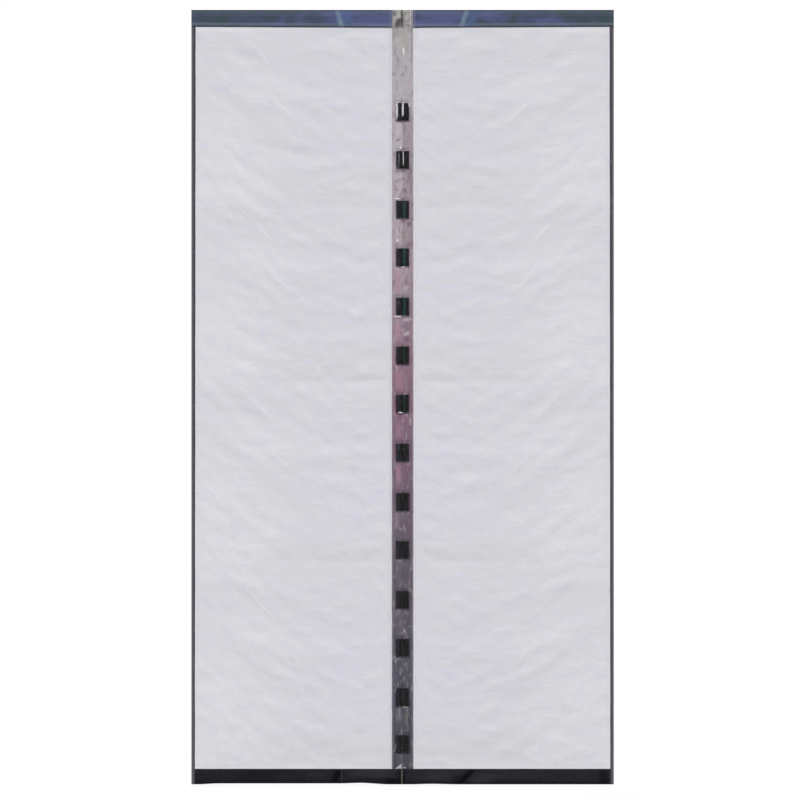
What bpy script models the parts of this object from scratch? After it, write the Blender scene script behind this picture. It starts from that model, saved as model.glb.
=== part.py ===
"""Magnetic plastic door curtain.

Two frosted film panels meet at a split in the middle of the doorway. Along the
split each panel ends in a sleeve of clear film with a pocket pressed round every
magnet, and dark tape is folded over the other three edges. One loop tape behind
the header joins the halves and fastens the curtain to the door frame.

Units are metres. +X is the viewer's right, -Y faces the viewer and +Z is up.
The origin is the middle of the loop tape's back face.
"""

import math

import bmesh
import bpy

# Driving dimensions of the whole curtain
CURTAIN_WIDTH = 1.200
CURTAIN_HEIGHT = 2.200
SPLIT_GAP = 0.0003
CLEARANCE = 0.0003

# Film panels
FILM_THICKNESS = 0.0004
FILM_COLUMNS = 13
FILM_ROWS = 31
BILLOW_DEPTH = 0.0016
BILLOW_WIDTH = 0.340
BILLOW_DROOP = 1.26
CREASE_DEPTH = 0.0008
CREASE_PITCH = 0.500
CREASE_REACH = 0.030
FLAT_MARGIN = 0.045

# Folded tapes. The header is higher beside the split and the bindings are wider at the top
TAPE_WALL = 0.0006
HEADER_SIDE_HEIGHT = 0.0493
HEADER_SPLIT_HEIGHT = 0.0523
HEADER_INNER_END = 0.029
BINDING_TOP_WIDTH = 0.0120
BINDING_BOTTOM_WIDTH = 0.0097
HEM_HEIGHT = 0.0438
HEM_STATIONS = 11
STITCH_INSET = 0.004
PINCH_RUN = 0.018
FOLD_TUCK = 0.6

# How far each bottom hem's fold hangs above its lowest line: distance from the split, lift
HEM_LIFT_LEFT = ((0.035, 0.0), (0.120, 0.0041), (0.180, 0.0027), (0.520, 0.0026), (0.585, 0.0))
HEM_LIFT_RIGHT = ((0.020, 0.0), (0.080, 0.0013), (0.160, 0.0), (0.585, 0.0))
HEM_SLACK = 0.0010

# Loop tape behind the header
LOOP_TAPE_HEIGHT = 0.050
LOOP_TAPE_THICKNESS = 0.0015
LOOP_TAPE_EDGE = 0.0004

# Magnet sleeves
SLEEVE_WALL = 0.0003
SLEEVE_WIDTH = 0.031
WELD_LAP = 0.008
POCKET_RAMP = 0.012
POCKET_FOOT = 0.006
POCKET_CORNER = 0.0016
FLAT_CORNER = 0.8
HEADER_RAMP = 0.012

# Magnets
MAGNET_WIDTH = 0.0175
MAGNET_HEIGHT = 0.050
MAGNET_THICKNESS = 0.0055
MAGNET_EDGE_RADIUS = 0.0018
MAGNET_EDGE_SEGMENTS = 3
MAGNET_END_RADIUS = 0.0008
FIRST_MAGNET_DROP = 0.2895
LAST_MAGNET_RISE = 0.1165

# How far each pair of magnets sits below an even spacing, from the top pair down
MAGNET_SLIPS = (
    0.0,
    -0.0016,
    0.0015,
    -0.0010,
    0.0010,
    0.0017,
    0.0009,
    0.0016,
    0.0035,
    0.0027,
    0.0063,
    0.0041,
    0.0067,
    0.0021,
)
MAGNETS_PER_SIDE = len(MAGNET_SLIPS)

# Heights and half widths that follow from them
TOP = LOOP_TAPE_HEIGHT / 2
LOOP_TAPE_BOTTOM = -LOOP_TAPE_HEIGHT / 2
BOTTOM = TOP - CURTAIN_HEIGHT
HEM_TOP = BOTTOM + HEM_HEIGHT
HALF_WIDTH = CURTAIN_WIDTH / 2
SPLIT_EDGE = SPLIT_GAP / 2
MOUTH_EDGE = SLEEVE_WIDTH + WELD_LAP
MAGNET_RUN = CURTAIN_HEIGHT - FIRST_MAGNET_DROP - LAST_MAGNET_RISE
MAGNET_PITCH = MAGNET_RUN / (MAGNETS_PER_SIDE - 1)

# Half gaps inside the folded film and tapes, measured from the film's middle plane
FILM_HALF_GAP = FILM_THICKNESS / 2 + CLEARANCE
SLEEVE_HALF = FILM_HALF_GAP + SLEEVE_WALL
SLEEVE_HALF_GAP = SLEEVE_HALF + CLEARANCE
POCKET_HALF_GAP = MAGNET_THICKNESS / 2 + CLEARANCE

# Depths behind the viewer's side: the header lies on the loop tape
HEADER_HALF = SLEEVE_HALF_GAP + TAPE_WALL
FILM_Y = -(LOOP_TAPE_THICKNESS + CLEARANCE + HEADER_HALF)

# Inner edges of what the folded tapes and the sleeves hold
FILM_TOP = TOP - TAPE_WALL - CLEARANCE
FILM_BOTTOM = BOTTOM + TAPE_WALL + HEM_SLACK
FILM_SIDE = HALF_WIDTH - TAPE_WALL - CLEARANCE

# The open part of a film panel, clear of the mouths of everything that holds it
OPEN_INNER = MOUTH_EDGE + CLEARANCE
OPEN_OUTER = HALF_WIDTH - BINDING_TOP_WIDTH - CLEARANCE
OPEN_TOP = TOP - HEADER_SPLIT_HEIGHT - CLEARANCE
OPEN_BOTTOM = HEM_TOP + CLEARANCE

SIDES = (("left", -1), ("right", 1))


def smooth_step(value):
    """Returns 0 below 0, 1 above 1 and a smooth rise between."""
    held = min(max(value, 0.0), 1.0)
    return held * held * (3 - 2 * held)


def hem_lift(side, x):
    """How far the bottom hem's fold hangs above its lowest line at distance x from the split."""
    knots = HEM_LIFT_LEFT if side < 0 else HEM_LIFT_RIGHT
    lift = knots[0][1]
    for (start, low), (end, high) in zip(knots, knots[1:]):
        lift += (high - low) * smooth_step((x - start) / (end - start))
    return lift


def header_height(x):
    """The header's height at distance x from the split."""
    return HEADER_SPLIT_HEIGHT + (HEADER_SIDE_HEIGHT - HEADER_SPLIT_HEIGHT) * x / HALF_WIDTH


def hem_height(side, x):
    """The bottom hem's height at distance x from the split: its upper edge is straight."""
    return HEM_HEIGHT - hem_lift(side, x)


def binding_width(z):
    """The side binding's width at height z."""
    down = (TOP - z) / CURTAIN_HEIGHT
    return BINDING_TOP_WIDTH + (BINDING_BOTTOM_WIDTH - BINDING_TOP_WIDTH) * down


def make_material(name, colour, roughness, metallic=0.0, transmission=0.0):
    """Makes a Principled material with the piece's own finish."""
    material = bpy.data.materials.new(name)
    material.use_nodes = True
    shader = material.node_tree.nodes["Principled BSDF"]
    shader.inputs["Base Color"].default_value = (*colour, 1.0)
    shader.inputs["Roughness"].default_value = roughness
    shader.inputs["Metallic"].default_value = metallic
    shader.inputs["Transmission Weight"].default_value = transmission
    return material


def add_object(name, mesh_builder, material):
    """Turns a finished bmesh into a named object with outward faces."""
    bmesh.ops.recalc_face_normals(mesh_builder, faces=mesh_builder.faces)
    mesh = bpy.data.meshes.new(name)
    mesh_builder.to_mesh(mesh)
    mesh_builder.free()
    mesh.materials.append(material)
    piece = bpy.data.objects.new(name, mesh)
    bpy.context.scene.collection.objects.link(piece)
    mesh.shade_smooth()
    mesh.set_sharp_from_angle(angle=math.radians(35))
    return piece


def loft(rings):
    """Joins closed rings of equal length into one solid with capped ends."""
    builder = bmesh.new()
    loops = [[builder.verts.new(point) for point in ring] for ring in rings]
    for near, far in zip(loops, loops[1:]):
        for index in range(len(near)):
            after = (index + 1) % len(near)
            builder.faces.new((near[index], near[after], far[after], far[index]))
    return builder, loops


def close_hairpin_end(builder, loop):
    """Closes the end of a folded strip, whose ring runs out on one skin and back on the other."""
    last = len(loop) - 1
    for index in range(len(loop) // 2 - 1):
        builder.faces.new((loop[index], loop[index + 1], loop[last - index - 1], loop[last - index]))


def hairpin_ring(outer, inner, place):
    """Orders a fold's outer points and, backwards, its inner points, and places them in space."""
    return [place(*point) for point in (*outer, *reversed(inner))]


def fold_section(reach, wall, half_gaps):
    """Outer and inner points of a tape folded over an edge.

    The fold is at distance 0 and the mouth at `reach`. `half_gaps` holds the
    distance from the fold and the inner half gap of each point along one leg.
    """
    inner_leg = [(wall, half_gaps[0][1] * FOLD_TUCK)]
    outer_leg = [(0.0, half_gaps[0][1] * FOLD_TUCK)]
    for distance, half_gap in half_gaps:
        inner_leg.append((distance * reach, half_gap))
        outer_leg.append((distance * reach, half_gap + wall))
    inner = [*reversed(inner_leg), *((u, -v) for u, v in inner_leg)]
    outer = [*reversed(outer_leg), *((u, -v) for u, v in outer_leg)]
    return outer, inner


def tape_half_gaps(mouth_half_gap, reach):
    """A stitched tape stays open near its fold and is pressed down along its mouth."""
    stitch = (reach - STITCH_INSET - TAPE_WALL) / reach
    shoulder = 2 * TAPE_WALL / reach
    return [
        (shoulder, SLEEVE_HALF_GAP),
        (stitch - shoulder, SLEEVE_HALF_GAP),
        (stitch, mouth_half_gap),
        (1.0, mouth_half_gap),
    ]


def mouth_half_gap_at(x):
    """The tape closes on the sleeve's lap near the split and on the bare film beyond it."""
    beyond = smooth_step((x - MOUTH_EDGE - CLEARANCE) / PINCH_RUN)
    return SLEEVE_HALF_GAP + (FILM_HALF_GAP - SLEEVE_HALF_GAP) * beyond


def folded_tape(name, stations, reach_at, place, material):
    """A tape folded over a horizontal edge, lofted from the split outwards."""
    rings = []
    for x in stations:
        reach = reach_at(x)
        outer, inner = fold_section(reach, TAPE_WALL, tape_half_gaps(mouth_half_gap_at(x), reach))
        rings.append(hairpin_ring(outer, inner, lambda u, v, x=x: place(x, u, v)))
    builder, loops = loft(rings)
    close_hairpin_end(builder, loops[0])
    close_hairpin_end(builder, loops[-1])
    return add_object(name, builder, material)


def spread(start, end, count):
    """Evenly spaced values from start to end."""
    return [start + (end - start) * step / (count - 1) for step in range(count)]


def make_header_band(name, side, material):
    """Dark tape folded over the film's top edge, stopping at the clear strip."""
    pinch_end = MOUTH_EDGE + CLEARANCE + PINCH_RUN
    stations = [HEADER_INNER_END, MOUTH_EDGE + CLEARANCE, (MOUTH_EDGE + pinch_end) / 2, pinch_end]
    stations.append(HALF_WIDTH)

    def place(x, u, v):
        return side * x, FILM_Y - v, TOP - u

    return folded_tape(name, stations, header_height, place, material)


def make_bottom_hem(name, side, material):
    """Satin tape folded over the bottom edge of film and sleeve, between split and binding."""
    pinch_end = MOUTH_EDGE + CLEARANCE + PINCH_RUN
    stations = [SPLIT_EDGE, SLEEVE_WIDTH / 2, SLEEVE_WIDTH, MOUTH_EDGE + CLEARANCE]
    stations.append((MOUTH_EDGE + pinch_end) / 2)
    side_end = HALF_WIDTH - binding_width(HEM_TOP) - CLEARANCE
    stations += spread(pinch_end, side_end, HEM_STATIONS)

    def reach_at(x):
        return hem_height(side, x)

    def place(x, u, v):
        return side * x, FILM_Y - v, BOTTOM + hem_lift(side, x) + u

    return folded_tape(name, stations, reach_at, place, material)


def make_side_binding(name, side, material):
    """Narrow tape folded over the outer edge, from the header down over the hem's end."""
    top_end = TOP - header_height(HALF_WIDTH - BINDING_TOP_WIDTH) - CLEARANCE
    rings = []
    for z in (BOTTOM, top_end):
        width = binding_width(z)
        half_gaps = [(2 * TAPE_WALL / width, FILM_HALF_GAP), (1.0, FILM_HALF_GAP)]
        outer, inner = fold_section(width, TAPE_WALL, half_gaps)
        rings.append(
            hairpin_ring(outer, inner, lambda u, v, z=z: (side * (HALF_WIDTH - u), FILM_Y - v, z))
        )
    builder, loops = loft(rings)
    close_hairpin_end(builder, loops[0])
    close_hairpin_end(builder, loops[-1])
    return add_object(name, builder, material)


def make_loop_tape(name, material):
    """The one tape across both halves, whose back face meets the door frame."""
    builder = bmesh.new()
    bmesh.ops.create_cube(builder, size=1.0)
    for vertex in builder.verts:
        vertex.co.x *= CURTAIN_WIDTH
        vertex.co.y = (vertex.co.y - 0.5) * LOOP_TAPE_THICKNESS
        vertex.co.z *= LOOP_TAPE_HEIGHT
    front_edges = [
        edge
        for edge in builder.edges
        if all(vertex.co.y < -LOOP_TAPE_THICKNESS / 2 for vertex in edge.verts)
    ]
    bmesh.ops.bevel(builder, geom=front_edges, offset=LOOP_TAPE_EDGE, segments=1, affect="EDGES")
    return add_object(name, builder, material)


def magnet_height(number):
    """Height of the middle of a magnet, counted from 0 at the top."""
    return TOP - FIRST_MAGNET_DROP - number * MAGNET_PITCH - MAGNET_SLIPS[number]


def make_magnet(name, side, number, material):
    """A flat magnet bar with rounded edges, standing in its pocket at the split."""
    builder = bmesh.new()
    bmesh.ops.create_cube(builder, size=1.0)
    for vertex in builder.verts:
        vertex.co.x *= MAGNET_WIDTH
        vertex.co.y *= MAGNET_THICKNESS
        vertex.co.z *= MAGNET_HEIGHT
    long_edges = [
        edge for edge in builder.edges if abs(edge.verts[0].co.z - edge.verts[1].co.z) > MAGNET_HEIGHT / 2
    ]
    bmesh.ops.bevel(
        builder,
        geom=long_edges,
        offset=MAGNET_EDGE_RADIUS,
        segments=MAGNET_EDGE_SEGMENTS,
        profile=0.5,
        affect="EDGES",
    )
    builder.normal_update()
    end_faces = [
        face for face in builder.faces if abs(face.normal.z) > abs(face.normal.x) + abs(face.normal.y)
    ]
    bmesh.ops.inset_individual(builder, faces=end_faces, thickness=MAGNET_END_RADIUS, use_even_offset=True)
    end_points = {vertex for face in end_faces for vertex in face.verts}
    for vertex in builder.verts:
        if vertex not in end_points:
            vertex.co.z -= math.copysign(MAGNET_END_RADIUS, vertex.co.z)
    piece = add_object(name, builder, material)
    magnet_x = SPLIT_EDGE + SLEEVE_WALL + CLEARANCE + MAGNET_WIDTH / 2
    piece.location = (side * magnet_x, FILM_Y, magnet_height(number))
    return piece


def sleeve_section(fullness):
    """Outer and inner points of the sleeve, from its mouth round the split and back.

    A fullness of 0 leaves the two walls pressed flat and 1 opens them round a magnet.
    """
    half_gap = FILM_HALF_GAP + (POCKET_HALF_GAP - FILM_HALF_GAP) * fullness
    corner = min(POCKET_CORNER, half_gap * FLAT_CORNER)
    fold = SPLIT_EDGE + SLEEVE_WALL
    shoulder = fold + 2 * CLEARANCE + MAGNET_WIDTH
    inner_leg = [
        (MOUTH_EDGE, FILM_HALF_GAP),
        (shoulder + POCKET_FOOT, FILM_HALF_GAP),
        (shoulder, half_gap),
        (fold + corner, half_gap),
        (fold, half_gap - corner),
    ]
    outer_leg = [
        (MOUTH_EDGE, SLEEVE_HALF),
        (shoulder + POCKET_FOOT + SLEEVE_WALL, SLEEVE_HALF),
        (shoulder + SLEEVE_WALL / 2, half_gap + SLEEVE_WALL),
        (SPLIT_EDGE + corner, half_gap + SLEEVE_WALL),
        (SPLIT_EDGE, half_gap - corner + SLEEVE_WALL / 2),
    ]
    inner = [*inner_leg, *((x, -y) for x, y in reversed(inner_leg))]
    outer = [*outer_leg, *((x, -y) for x, y in reversed(outer_leg))]
    return outer, inner


def header_fullness():
    """In the header's gap the sleeve widens until it lies against the loop tape."""
    reach = HEADER_HALF - SLEEVE_WALL
    return (reach - FILM_HALF_GAP) / (POCKET_HALF_GAP - FILM_HALF_GAP)


def sleeve_stations():
    """Heights of the sleeve's rings from the top down, with the fullness of each."""
    stations = [(FILM_TOP, header_fullness()), (LOOP_TAPE_BOTTOM, header_fullness())]
    stations.append((LOOP_TAPE_BOTTOM - HEADER_RAMP, 0.0))
    half_pocket = MAGNET_HEIGHT / 2 + CLEARANCE
    for number in range(MAGNETS_PER_SIDE):
        middle = magnet_height(number)
        stations.append((middle + half_pocket + POCKET_RAMP, 0.0))
        stations.append((middle + half_pocket, 1.0))
        stations.append((middle - half_pocket, 1.0))
        stations.append((middle - half_pocket - POCKET_RAMP, 0.0))
    stations.append((FILM_BOTTOM, 0.0))
    return stations


def make_sleeve(name, side, material):
    """Clear film folded at the split, open towards the panel that is welded into it."""

    def place(x, y, z):
        lift = hem_lift(side, x) if z == FILM_BOTTOM else 0.0
        return side * x, FILM_Y + y, z + lift

    rings = []
    for z, fullness in sleeve_stations():
        outer, inner = sleeve_section(fullness)
        rings.append(hairpin_ring(outer, inner, lambda x, y, z=z: place(x, y, z)))
    builder, loops = loft(rings)
    close_hairpin_end(builder, loops[0])
    close_hairpin_end(builder, loops[-1])
    return add_object(name, builder, material)


def edge_fade(x, z):
    """0 where the film is held by tapes and weld, 1 in the open panel."""
    distances = (x - OPEN_INNER, OPEN_OUTER - x, OPEN_TOP - z, z - OPEN_BOTTOM)
    return smooth_step(min(distances) / FLAT_MARGIN)


def film_depth(x, z):
    """How far the film leaves its middle plane: drooping billows and sharp packing creases."""
    along = z - BILLOW_DROOP * x * x
    billow = BILLOW_DEPTH * math.sin(2 * math.pi * along / BILLOW_WIDTH)
    to_crease = abs((z / CREASE_PITCH + 0.5) % 1.0 - 0.5) * CREASE_PITCH
    crease = CREASE_DEPTH * math.exp(-to_crease / CREASE_REACH)
    return (billow - crease) * edge_fade(x, z)


def make_film_panel(name, side, material):
    """A frosted sheet from the weld to the side binding, with the creases of its packing."""
    builder = bmesh.new()
    front, back = [], []
    columns = [SLEEVE_WIDTH, *spread(OPEN_INNER, OPEN_OUTER, FILM_COLUMNS), FILM_SIDE]
    rows = [FILM_TOP, *spread(OPEN_TOP, OPEN_BOTTOM, FILM_ROWS), FILM_BOTTOM]
    for height in rows:
        front_row, back_row = [], []
        for x in columns:
            z = height + hem_lift(side, x) if height == FILM_BOTTOM else height
            y = FILM_Y + film_depth(x, z)
            front_row.append(builder.verts.new((side * x, y - FILM_THICKNESS / 2, z)))
            back_row.append(builder.verts.new((side * x, y + FILM_THICKNESS / 2, z)))
        front.append(front_row)
        back.append(back_row)
    for skin in (front, back):
        for upper, lower in zip(skin, skin[1:]):
            for column in range(len(columns) - 1):
                corners = (upper[column], upper[column + 1], lower[column + 1], lower[column])
                builder.faces.new(corners)
    bmesh.ops.bridge_loops(builder, edges=[edge for edge in builder.edges if edge.is_boundary])
    return add_object(name, builder, material)


def clear_scene():
    """Removes every object of the scene that is open."""
    for item in list(bpy.context.scene.objects):
        bpy.data.objects.remove(item, do_unlink=True)


def build_curtain():
    """Builds both halves of the curtain and the tape that joins them."""
    film = make_material("frosted_film", (0.66, 0.66, 0.72), 0.45)
    clear = make_material("clear_film", (0.40, 0.36, 0.38), 0.12, transmission=0.8)
    header = make_material("header_fabric", (0.08, 0.10, 0.15), 0.80)
    binding = make_material("binding_tape", (0.10, 0.10, 0.12), 0.85)
    satin = make_material("hem_satin", (0.015, 0.015, 0.018), 0.40)
    loop = make_material("loop_pile", (0.03, 0.03, 0.035), 0.95)
    ferrite = make_material("magnet_coat", (0.02, 0.02, 0.022), 0.18)
    make_loop_tape("loop_tape", loop)
    for word, side in SIDES:
        make_film_panel(f"{word}_film_panel", side, film)
        make_sleeve(f"{word}_magnet_sleeve", side, clear)
        make_header_band(f"{word}_header_band", side, header)
        make_side_binding(f"{word}_side_binding", side, binding)
        make_bottom_hem(f"{word}_bottom_hem", side, satin)
        for number in range(MAGNETS_PER_SIDE):
            make_magnet(f"{word}_magnet_{number + 1:02d}", side, number, ferrite)


clear_scene()
build_curtain()
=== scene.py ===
"""Looks of the magnetic plastic door curtain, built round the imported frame.

Units are metres. +X is the viewer's right, -Y faces the viewer and +Z is up. The origin is the
middle of the loop tape's back face, where the curtain presses on the door frame.
"""

import logging
import math
from collections.abc import Callable
from dataclasses import dataclass
from enum import Enum
from typing import TypeAlias

import bpy
import numpy as np
from mathutils import Matrix, Vector

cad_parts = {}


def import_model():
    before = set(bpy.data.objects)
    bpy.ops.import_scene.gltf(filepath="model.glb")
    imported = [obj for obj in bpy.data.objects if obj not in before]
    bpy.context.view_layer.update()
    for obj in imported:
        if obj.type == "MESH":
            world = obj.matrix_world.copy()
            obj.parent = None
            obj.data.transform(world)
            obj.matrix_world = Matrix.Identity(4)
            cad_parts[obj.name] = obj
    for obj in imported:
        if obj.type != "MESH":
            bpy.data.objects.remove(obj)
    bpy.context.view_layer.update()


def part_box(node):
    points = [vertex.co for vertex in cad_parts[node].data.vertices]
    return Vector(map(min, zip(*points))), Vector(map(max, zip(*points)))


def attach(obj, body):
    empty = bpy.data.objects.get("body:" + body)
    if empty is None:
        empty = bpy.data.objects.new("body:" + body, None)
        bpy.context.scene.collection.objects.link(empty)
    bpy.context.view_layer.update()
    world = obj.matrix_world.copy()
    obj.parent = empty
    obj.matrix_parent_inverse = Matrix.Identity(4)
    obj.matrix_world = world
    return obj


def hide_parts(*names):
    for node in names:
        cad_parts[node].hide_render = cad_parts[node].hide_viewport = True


log = logging.getLogger("door_curtain")

Array = np.ndarray
Placer = Callable[[Array, Array], Array]
Term: TypeAlias = "Value | float"
Shade: TypeAlias = "Value | tuple"

FULL_TURN = 2 * math.pi
WHITE = (1.0, 1.0, 1.0, 1.0)


class Side(Enum):
    """One half of the curtain; the value is the direction of its outer edge along X."""

    LEFT = -1
    RIGHT = 1

    @property
    def word(self) -> str:
        """The half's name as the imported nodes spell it."""
        return self.name.lower()


class Hang(Enum):
    """How a sheet of the curtain is held."""

    HUNG = "hung"
    FOLDED = "folded"
    STRETCHED = "stretched"


# Sizes that the looks share with the part


@dataclass(frozen=True)
class CurtainPlan:
    """The curtain's main lines, in metres, as the part has them."""

    top: float = 0.025
    loop_bottom: float = -0.025
    bottom: float = -2.175
    half_width: float = 0.600
    film_depth: float = -0.0035
    film_thickness: float = 0.0004
    split_edge: float = 0.00015
    strip_width: float = 0.031
    lap_width: float = 0.008
    header_inner_end: float = 0.029
    header_side_height: float = 0.0478
    header_split_height: float = 0.0508
    binding_top_width: float = 0.0120
    binding_bottom_width: float = 0.0097
    binding_slope: float = 0.00105
    tape_gap: float = 0.0003
    edge_inset: float = 0.0009
    fold_inset: float = 0.0016
    hem_height: float = 0.0438
    hem_lift_left: tuple = (
        *((0.035, 0.0), (0.120, 0.0041), (0.180, 0.0027)),
        *((0.520, 0.0026), (0.585, 0.0)),
    )
    hem_lift_right: tuple = ((0.020, 0.0), (0.080, 0.0013), (0.160, 0.0), (0.585, 0.0))
    first_magnet_drop: float = 0.2895
    magnet_pitch: float = 0.138
    film_fields: tuple[float, ...] = (-0.440, 0.061, 0.558, 1.067, 1.621, 2.170)
    film_droop: float = 1.26
    magnet_slips: tuple[float, ...] = (
        *(0.0, -0.0016, 0.0015, -0.0010, 0.0010, 0.0017, 0.0009),
        *(0.0016, 0.0035, 0.0027, 0.0063, 0.0041, 0.0067, 0.0021),
    )

    @property
    def magnets_per_side(self) -> int:
        """How many magnets stand in each half."""
        return len(self.magnet_slips)

    @property
    def lap_edge(self) -> float:
        """Distance from the split to the mouth of the clear sleeve."""
        return self.strip_width + self.lap_width

    @property
    def hem_side(self) -> float:
        """Distance from the split to the outer end of a bottom hem."""
        return self.half_width - self.binding_width(self.hem_top) - self.tape_gap

    @property
    def hem_top(self) -> float:
        """Height of the bottom hem's straight upper edge."""
        return self.bottom + self.hem_height

    def header_height(self, reach: Array) -> Array:
        """The header's height, a little more beside the split than at the side."""
        fall = self.header_side_height - self.header_split_height
        return self.header_split_height + fall * reach / self.half_width

    def binding_width(self, z: Array) -> Array:
        """The side binding's width, a little more at the top than at the bottom."""
        down = (self.top - z) / (self.top - self.bottom)
        return self.binding_top_width + (self.binding_bottom_width - self.binding_top_width) * down

    def magnet_height(self, number: int) -> float:
        """Height of the middle of a magnet, counted from 0 at the top."""
        first = self.top - self.first_magnet_drop
        return first - number * self.magnet_pitch - self.magnet_slips[number]

    def hem_lift(self, side: Side, reach: Array) -> Array:
        """How far a bottom hem's fold hangs above its lowest line.

        Args:
            side: The half that the hem belongs to.
            reach: Distances from the split.

        Returns:
            The lift at each distance.
        """
        knots = self.hem_lift_left if side is Side.LEFT else self.hem_lift_right
        lift = np.zeros_like(reach) + knots[0][1]
        for (start, low), (end, high) in zip(knots, knots[1:]):
            lift += (high - low) * smooth_step((reach - start) / (end - start))
        return lift


def smooth_step(value: Array) -> Array:
    """Returns 0 below 0, 1 above 1 and a smooth rise between."""
    held = np.clip(value, 0.0, 1.0)
    return held * held * (3 - 2 * held)


def bell(distance: Array, width: float) -> Array:
    """A smooth bump of height 1 that is `width` from its middle to its shoulder."""
    return np.exp(-((distance / width) ** 2) / 2)


def linear(red: float, green: float, blue: float) -> tuple[float, float, float, float]:
    """Turns a colour as a screen shows it, 0 to 255, into the linear colour of a shader."""
    levels = []
    for level in (red, green, blue):
        share = level / 255
        levels.append(share / 12.92 if share <= 0.04045 else ((share + 0.055) / 1.055) ** 2.4)
    return levels[0], levels[1], levels[2], 1.0


# Shader recipes


@dataclass
class Value:
    """A number socket whose Python operators add Math nodes to its recipe."""

    recipe: "Recipe"
    socket: bpy.types.NodeSocket

    def _math(self, operation: str, first: Term, second: Term = 0.0) -> "Value":
        """Adds one Math node and returns its result."""
        settings = {"operation": operation}
        return self.recipe.add("ShaderNodeMath", settings, {0: first, 1: second})

    def __add__(self, other: Term) -> "Value":
        """Returns the sum."""
        return self._math("ADD", self, other)

    def __radd__(self, other: Term) -> "Value":
        """Returns the sum."""
        return self._math("ADD", other, self)

    def __sub__(self, other: Term) -> "Value":
        """Returns the difference."""
        return self._math("SUBTRACT", self, other)

    def __rsub__(self, other: Term) -> "Value":
        """Returns the difference, with this value taken from the other."""
        return self._math("SUBTRACT", other, self)

    def __mul__(self, other: Term) -> "Value":
        """Returns the product."""
        return self._math("MULTIPLY", self, other)

    def __rmul__(self, other: Term) -> "Value":
        """Returns the product."""
        return self._math("MULTIPLY", other, self)

    def __truediv__(self, other: Term) -> "Value":
        """Returns the quotient."""
        return self._math("DIVIDE", self, other)

    def __abs__(self) -> "Value":
        """Returns the distance from 0."""
        return self._math("ABSOLUTE", self)

    def wave(self, pitch: float) -> "Value":
        """Returns a sine wave from -1 to 1 over this length, one crest in each pitch."""
        return self._math("SINE", self * (FULL_TURN / pitch))

    def ribs(self, pitch: float) -> "Value":
        """Returns the same wave as ribs from 0 to 1."""
        return self.wave(pitch) * 0.5 + 0.5

    def at_least(self, other: Term) -> "Value":
        """Returns the larger of the two."""
        return self._math("MAXIMUM", self, other)

    def over(self, level: float) -> "Value":
        """Returns 1 where this value is above the level and 0 elsewhere."""
        return self._math("GREATER_THAN", self, level)

    def rise(self, start: float, end: float) -> "Value":
        """Returns a smooth step from 0 at `start` to 1 at `end`."""
        settings = {"interpolation_type": "SMOOTHSTEP"}
        inputs = {"Value": self, "From Min": start, "From Max": end}
        if start < end:
            return self.recipe.add("ShaderNodeMapRange", settings, inputs)
        inputs = {"Value": self, "From Min": end, "From Max": start}
        return 1 - self.recipe.add("ShaderNodeMapRange", settings, inputs)

    def band(self, middle: float, half: float, soft: float) -> "Value":
        """Returns 1 within `half` of `middle`, fading to 0 over `soft` beyond it."""
        return abs(self - middle).rise(half + soft, half)


class Recipe:
    """A node tree, written as Python expressions."""

    def __init__(self, owner: bpy.types.Material | bpy.types.World) -> None:
        """Empties the tree of its owner.

        Args:
            owner: The material or world that the tree belongs to.
        """
        owner.use_nodes = True
        self.nodes = owner.node_tree.nodes
        self.links = owner.node_tree.links
        self.nodes.clear()

    def add(
        self,
        kind: str,
        settings: dict[str, object],
        inputs: dict[str | int, object],
        output: str | int = 0,
    ) -> Value:
        """Adds one node.

        Args:
            kind: The node's type.
            settings: Its own settings, set before its sockets. A ramp's are its "stops".
            inputs: The value or link of each socket, by name or number.
            output: The socket to return, by name or number.

        Returns:
            The wrapped output socket.
        """
        node = self.nodes.new(kind)
        for name, setting in settings.items():
            if name == "stops":
                self._set_stops(node.color_ramp, setting)
            else:
                setattr(node, name, setting)
        for name, given in inputs.items():
            if isinstance(given, Value):
                self.links.new(given.socket, node.inputs[name])
            else:
                node.inputs[name].default_value = given
        return Value(self, node.outputs[output])

    @staticmethod
    def _set_stops(ramp: bpy.types.ColorRamp, stops: list[tuple[float, tuple]]) -> None:
        """Gives a colour ramp its stops."""
        while len(ramp.elements) < len(stops):
            ramp.elements.new(0.5)
        for element, (position, colour) in zip(ramp.elements, stops):
            element.position = position
            element.color = colour

    def add_output(self, kind: str, shader: Value) -> None:
        """Adds an output node that shows the shader."""
        node = self.nodes.new(kind)
        self.links.new(shader.socket, node.inputs["Surface"])

    def blend(self, share: Term, first: Shade, second: Shade) -> Value:
        """Mixes two colours; a share of 0 gives the first."""
        inputs = {0: share, 6: first, 7: second}
        return self.add("ShaderNodeMix", {"data_type": "RGBA"}, inputs, 2)

    def seen(self) -> Value:
        """Returns 1 for what is seen straight, in a gloss or through film, and 0 elsewhere."""
        ray = self.add("ShaderNodeLightPath", {}, {}, "Is Camera Ray")
        gloss = self.add("ShaderNodeLightPath", {}, {}, "Is Glossy Ray")
        through = self.add("ShaderNodeLightPath", {}, {}, "Is Transmission Ray")
        return ray.at_least(gloss).at_least(through)


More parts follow.
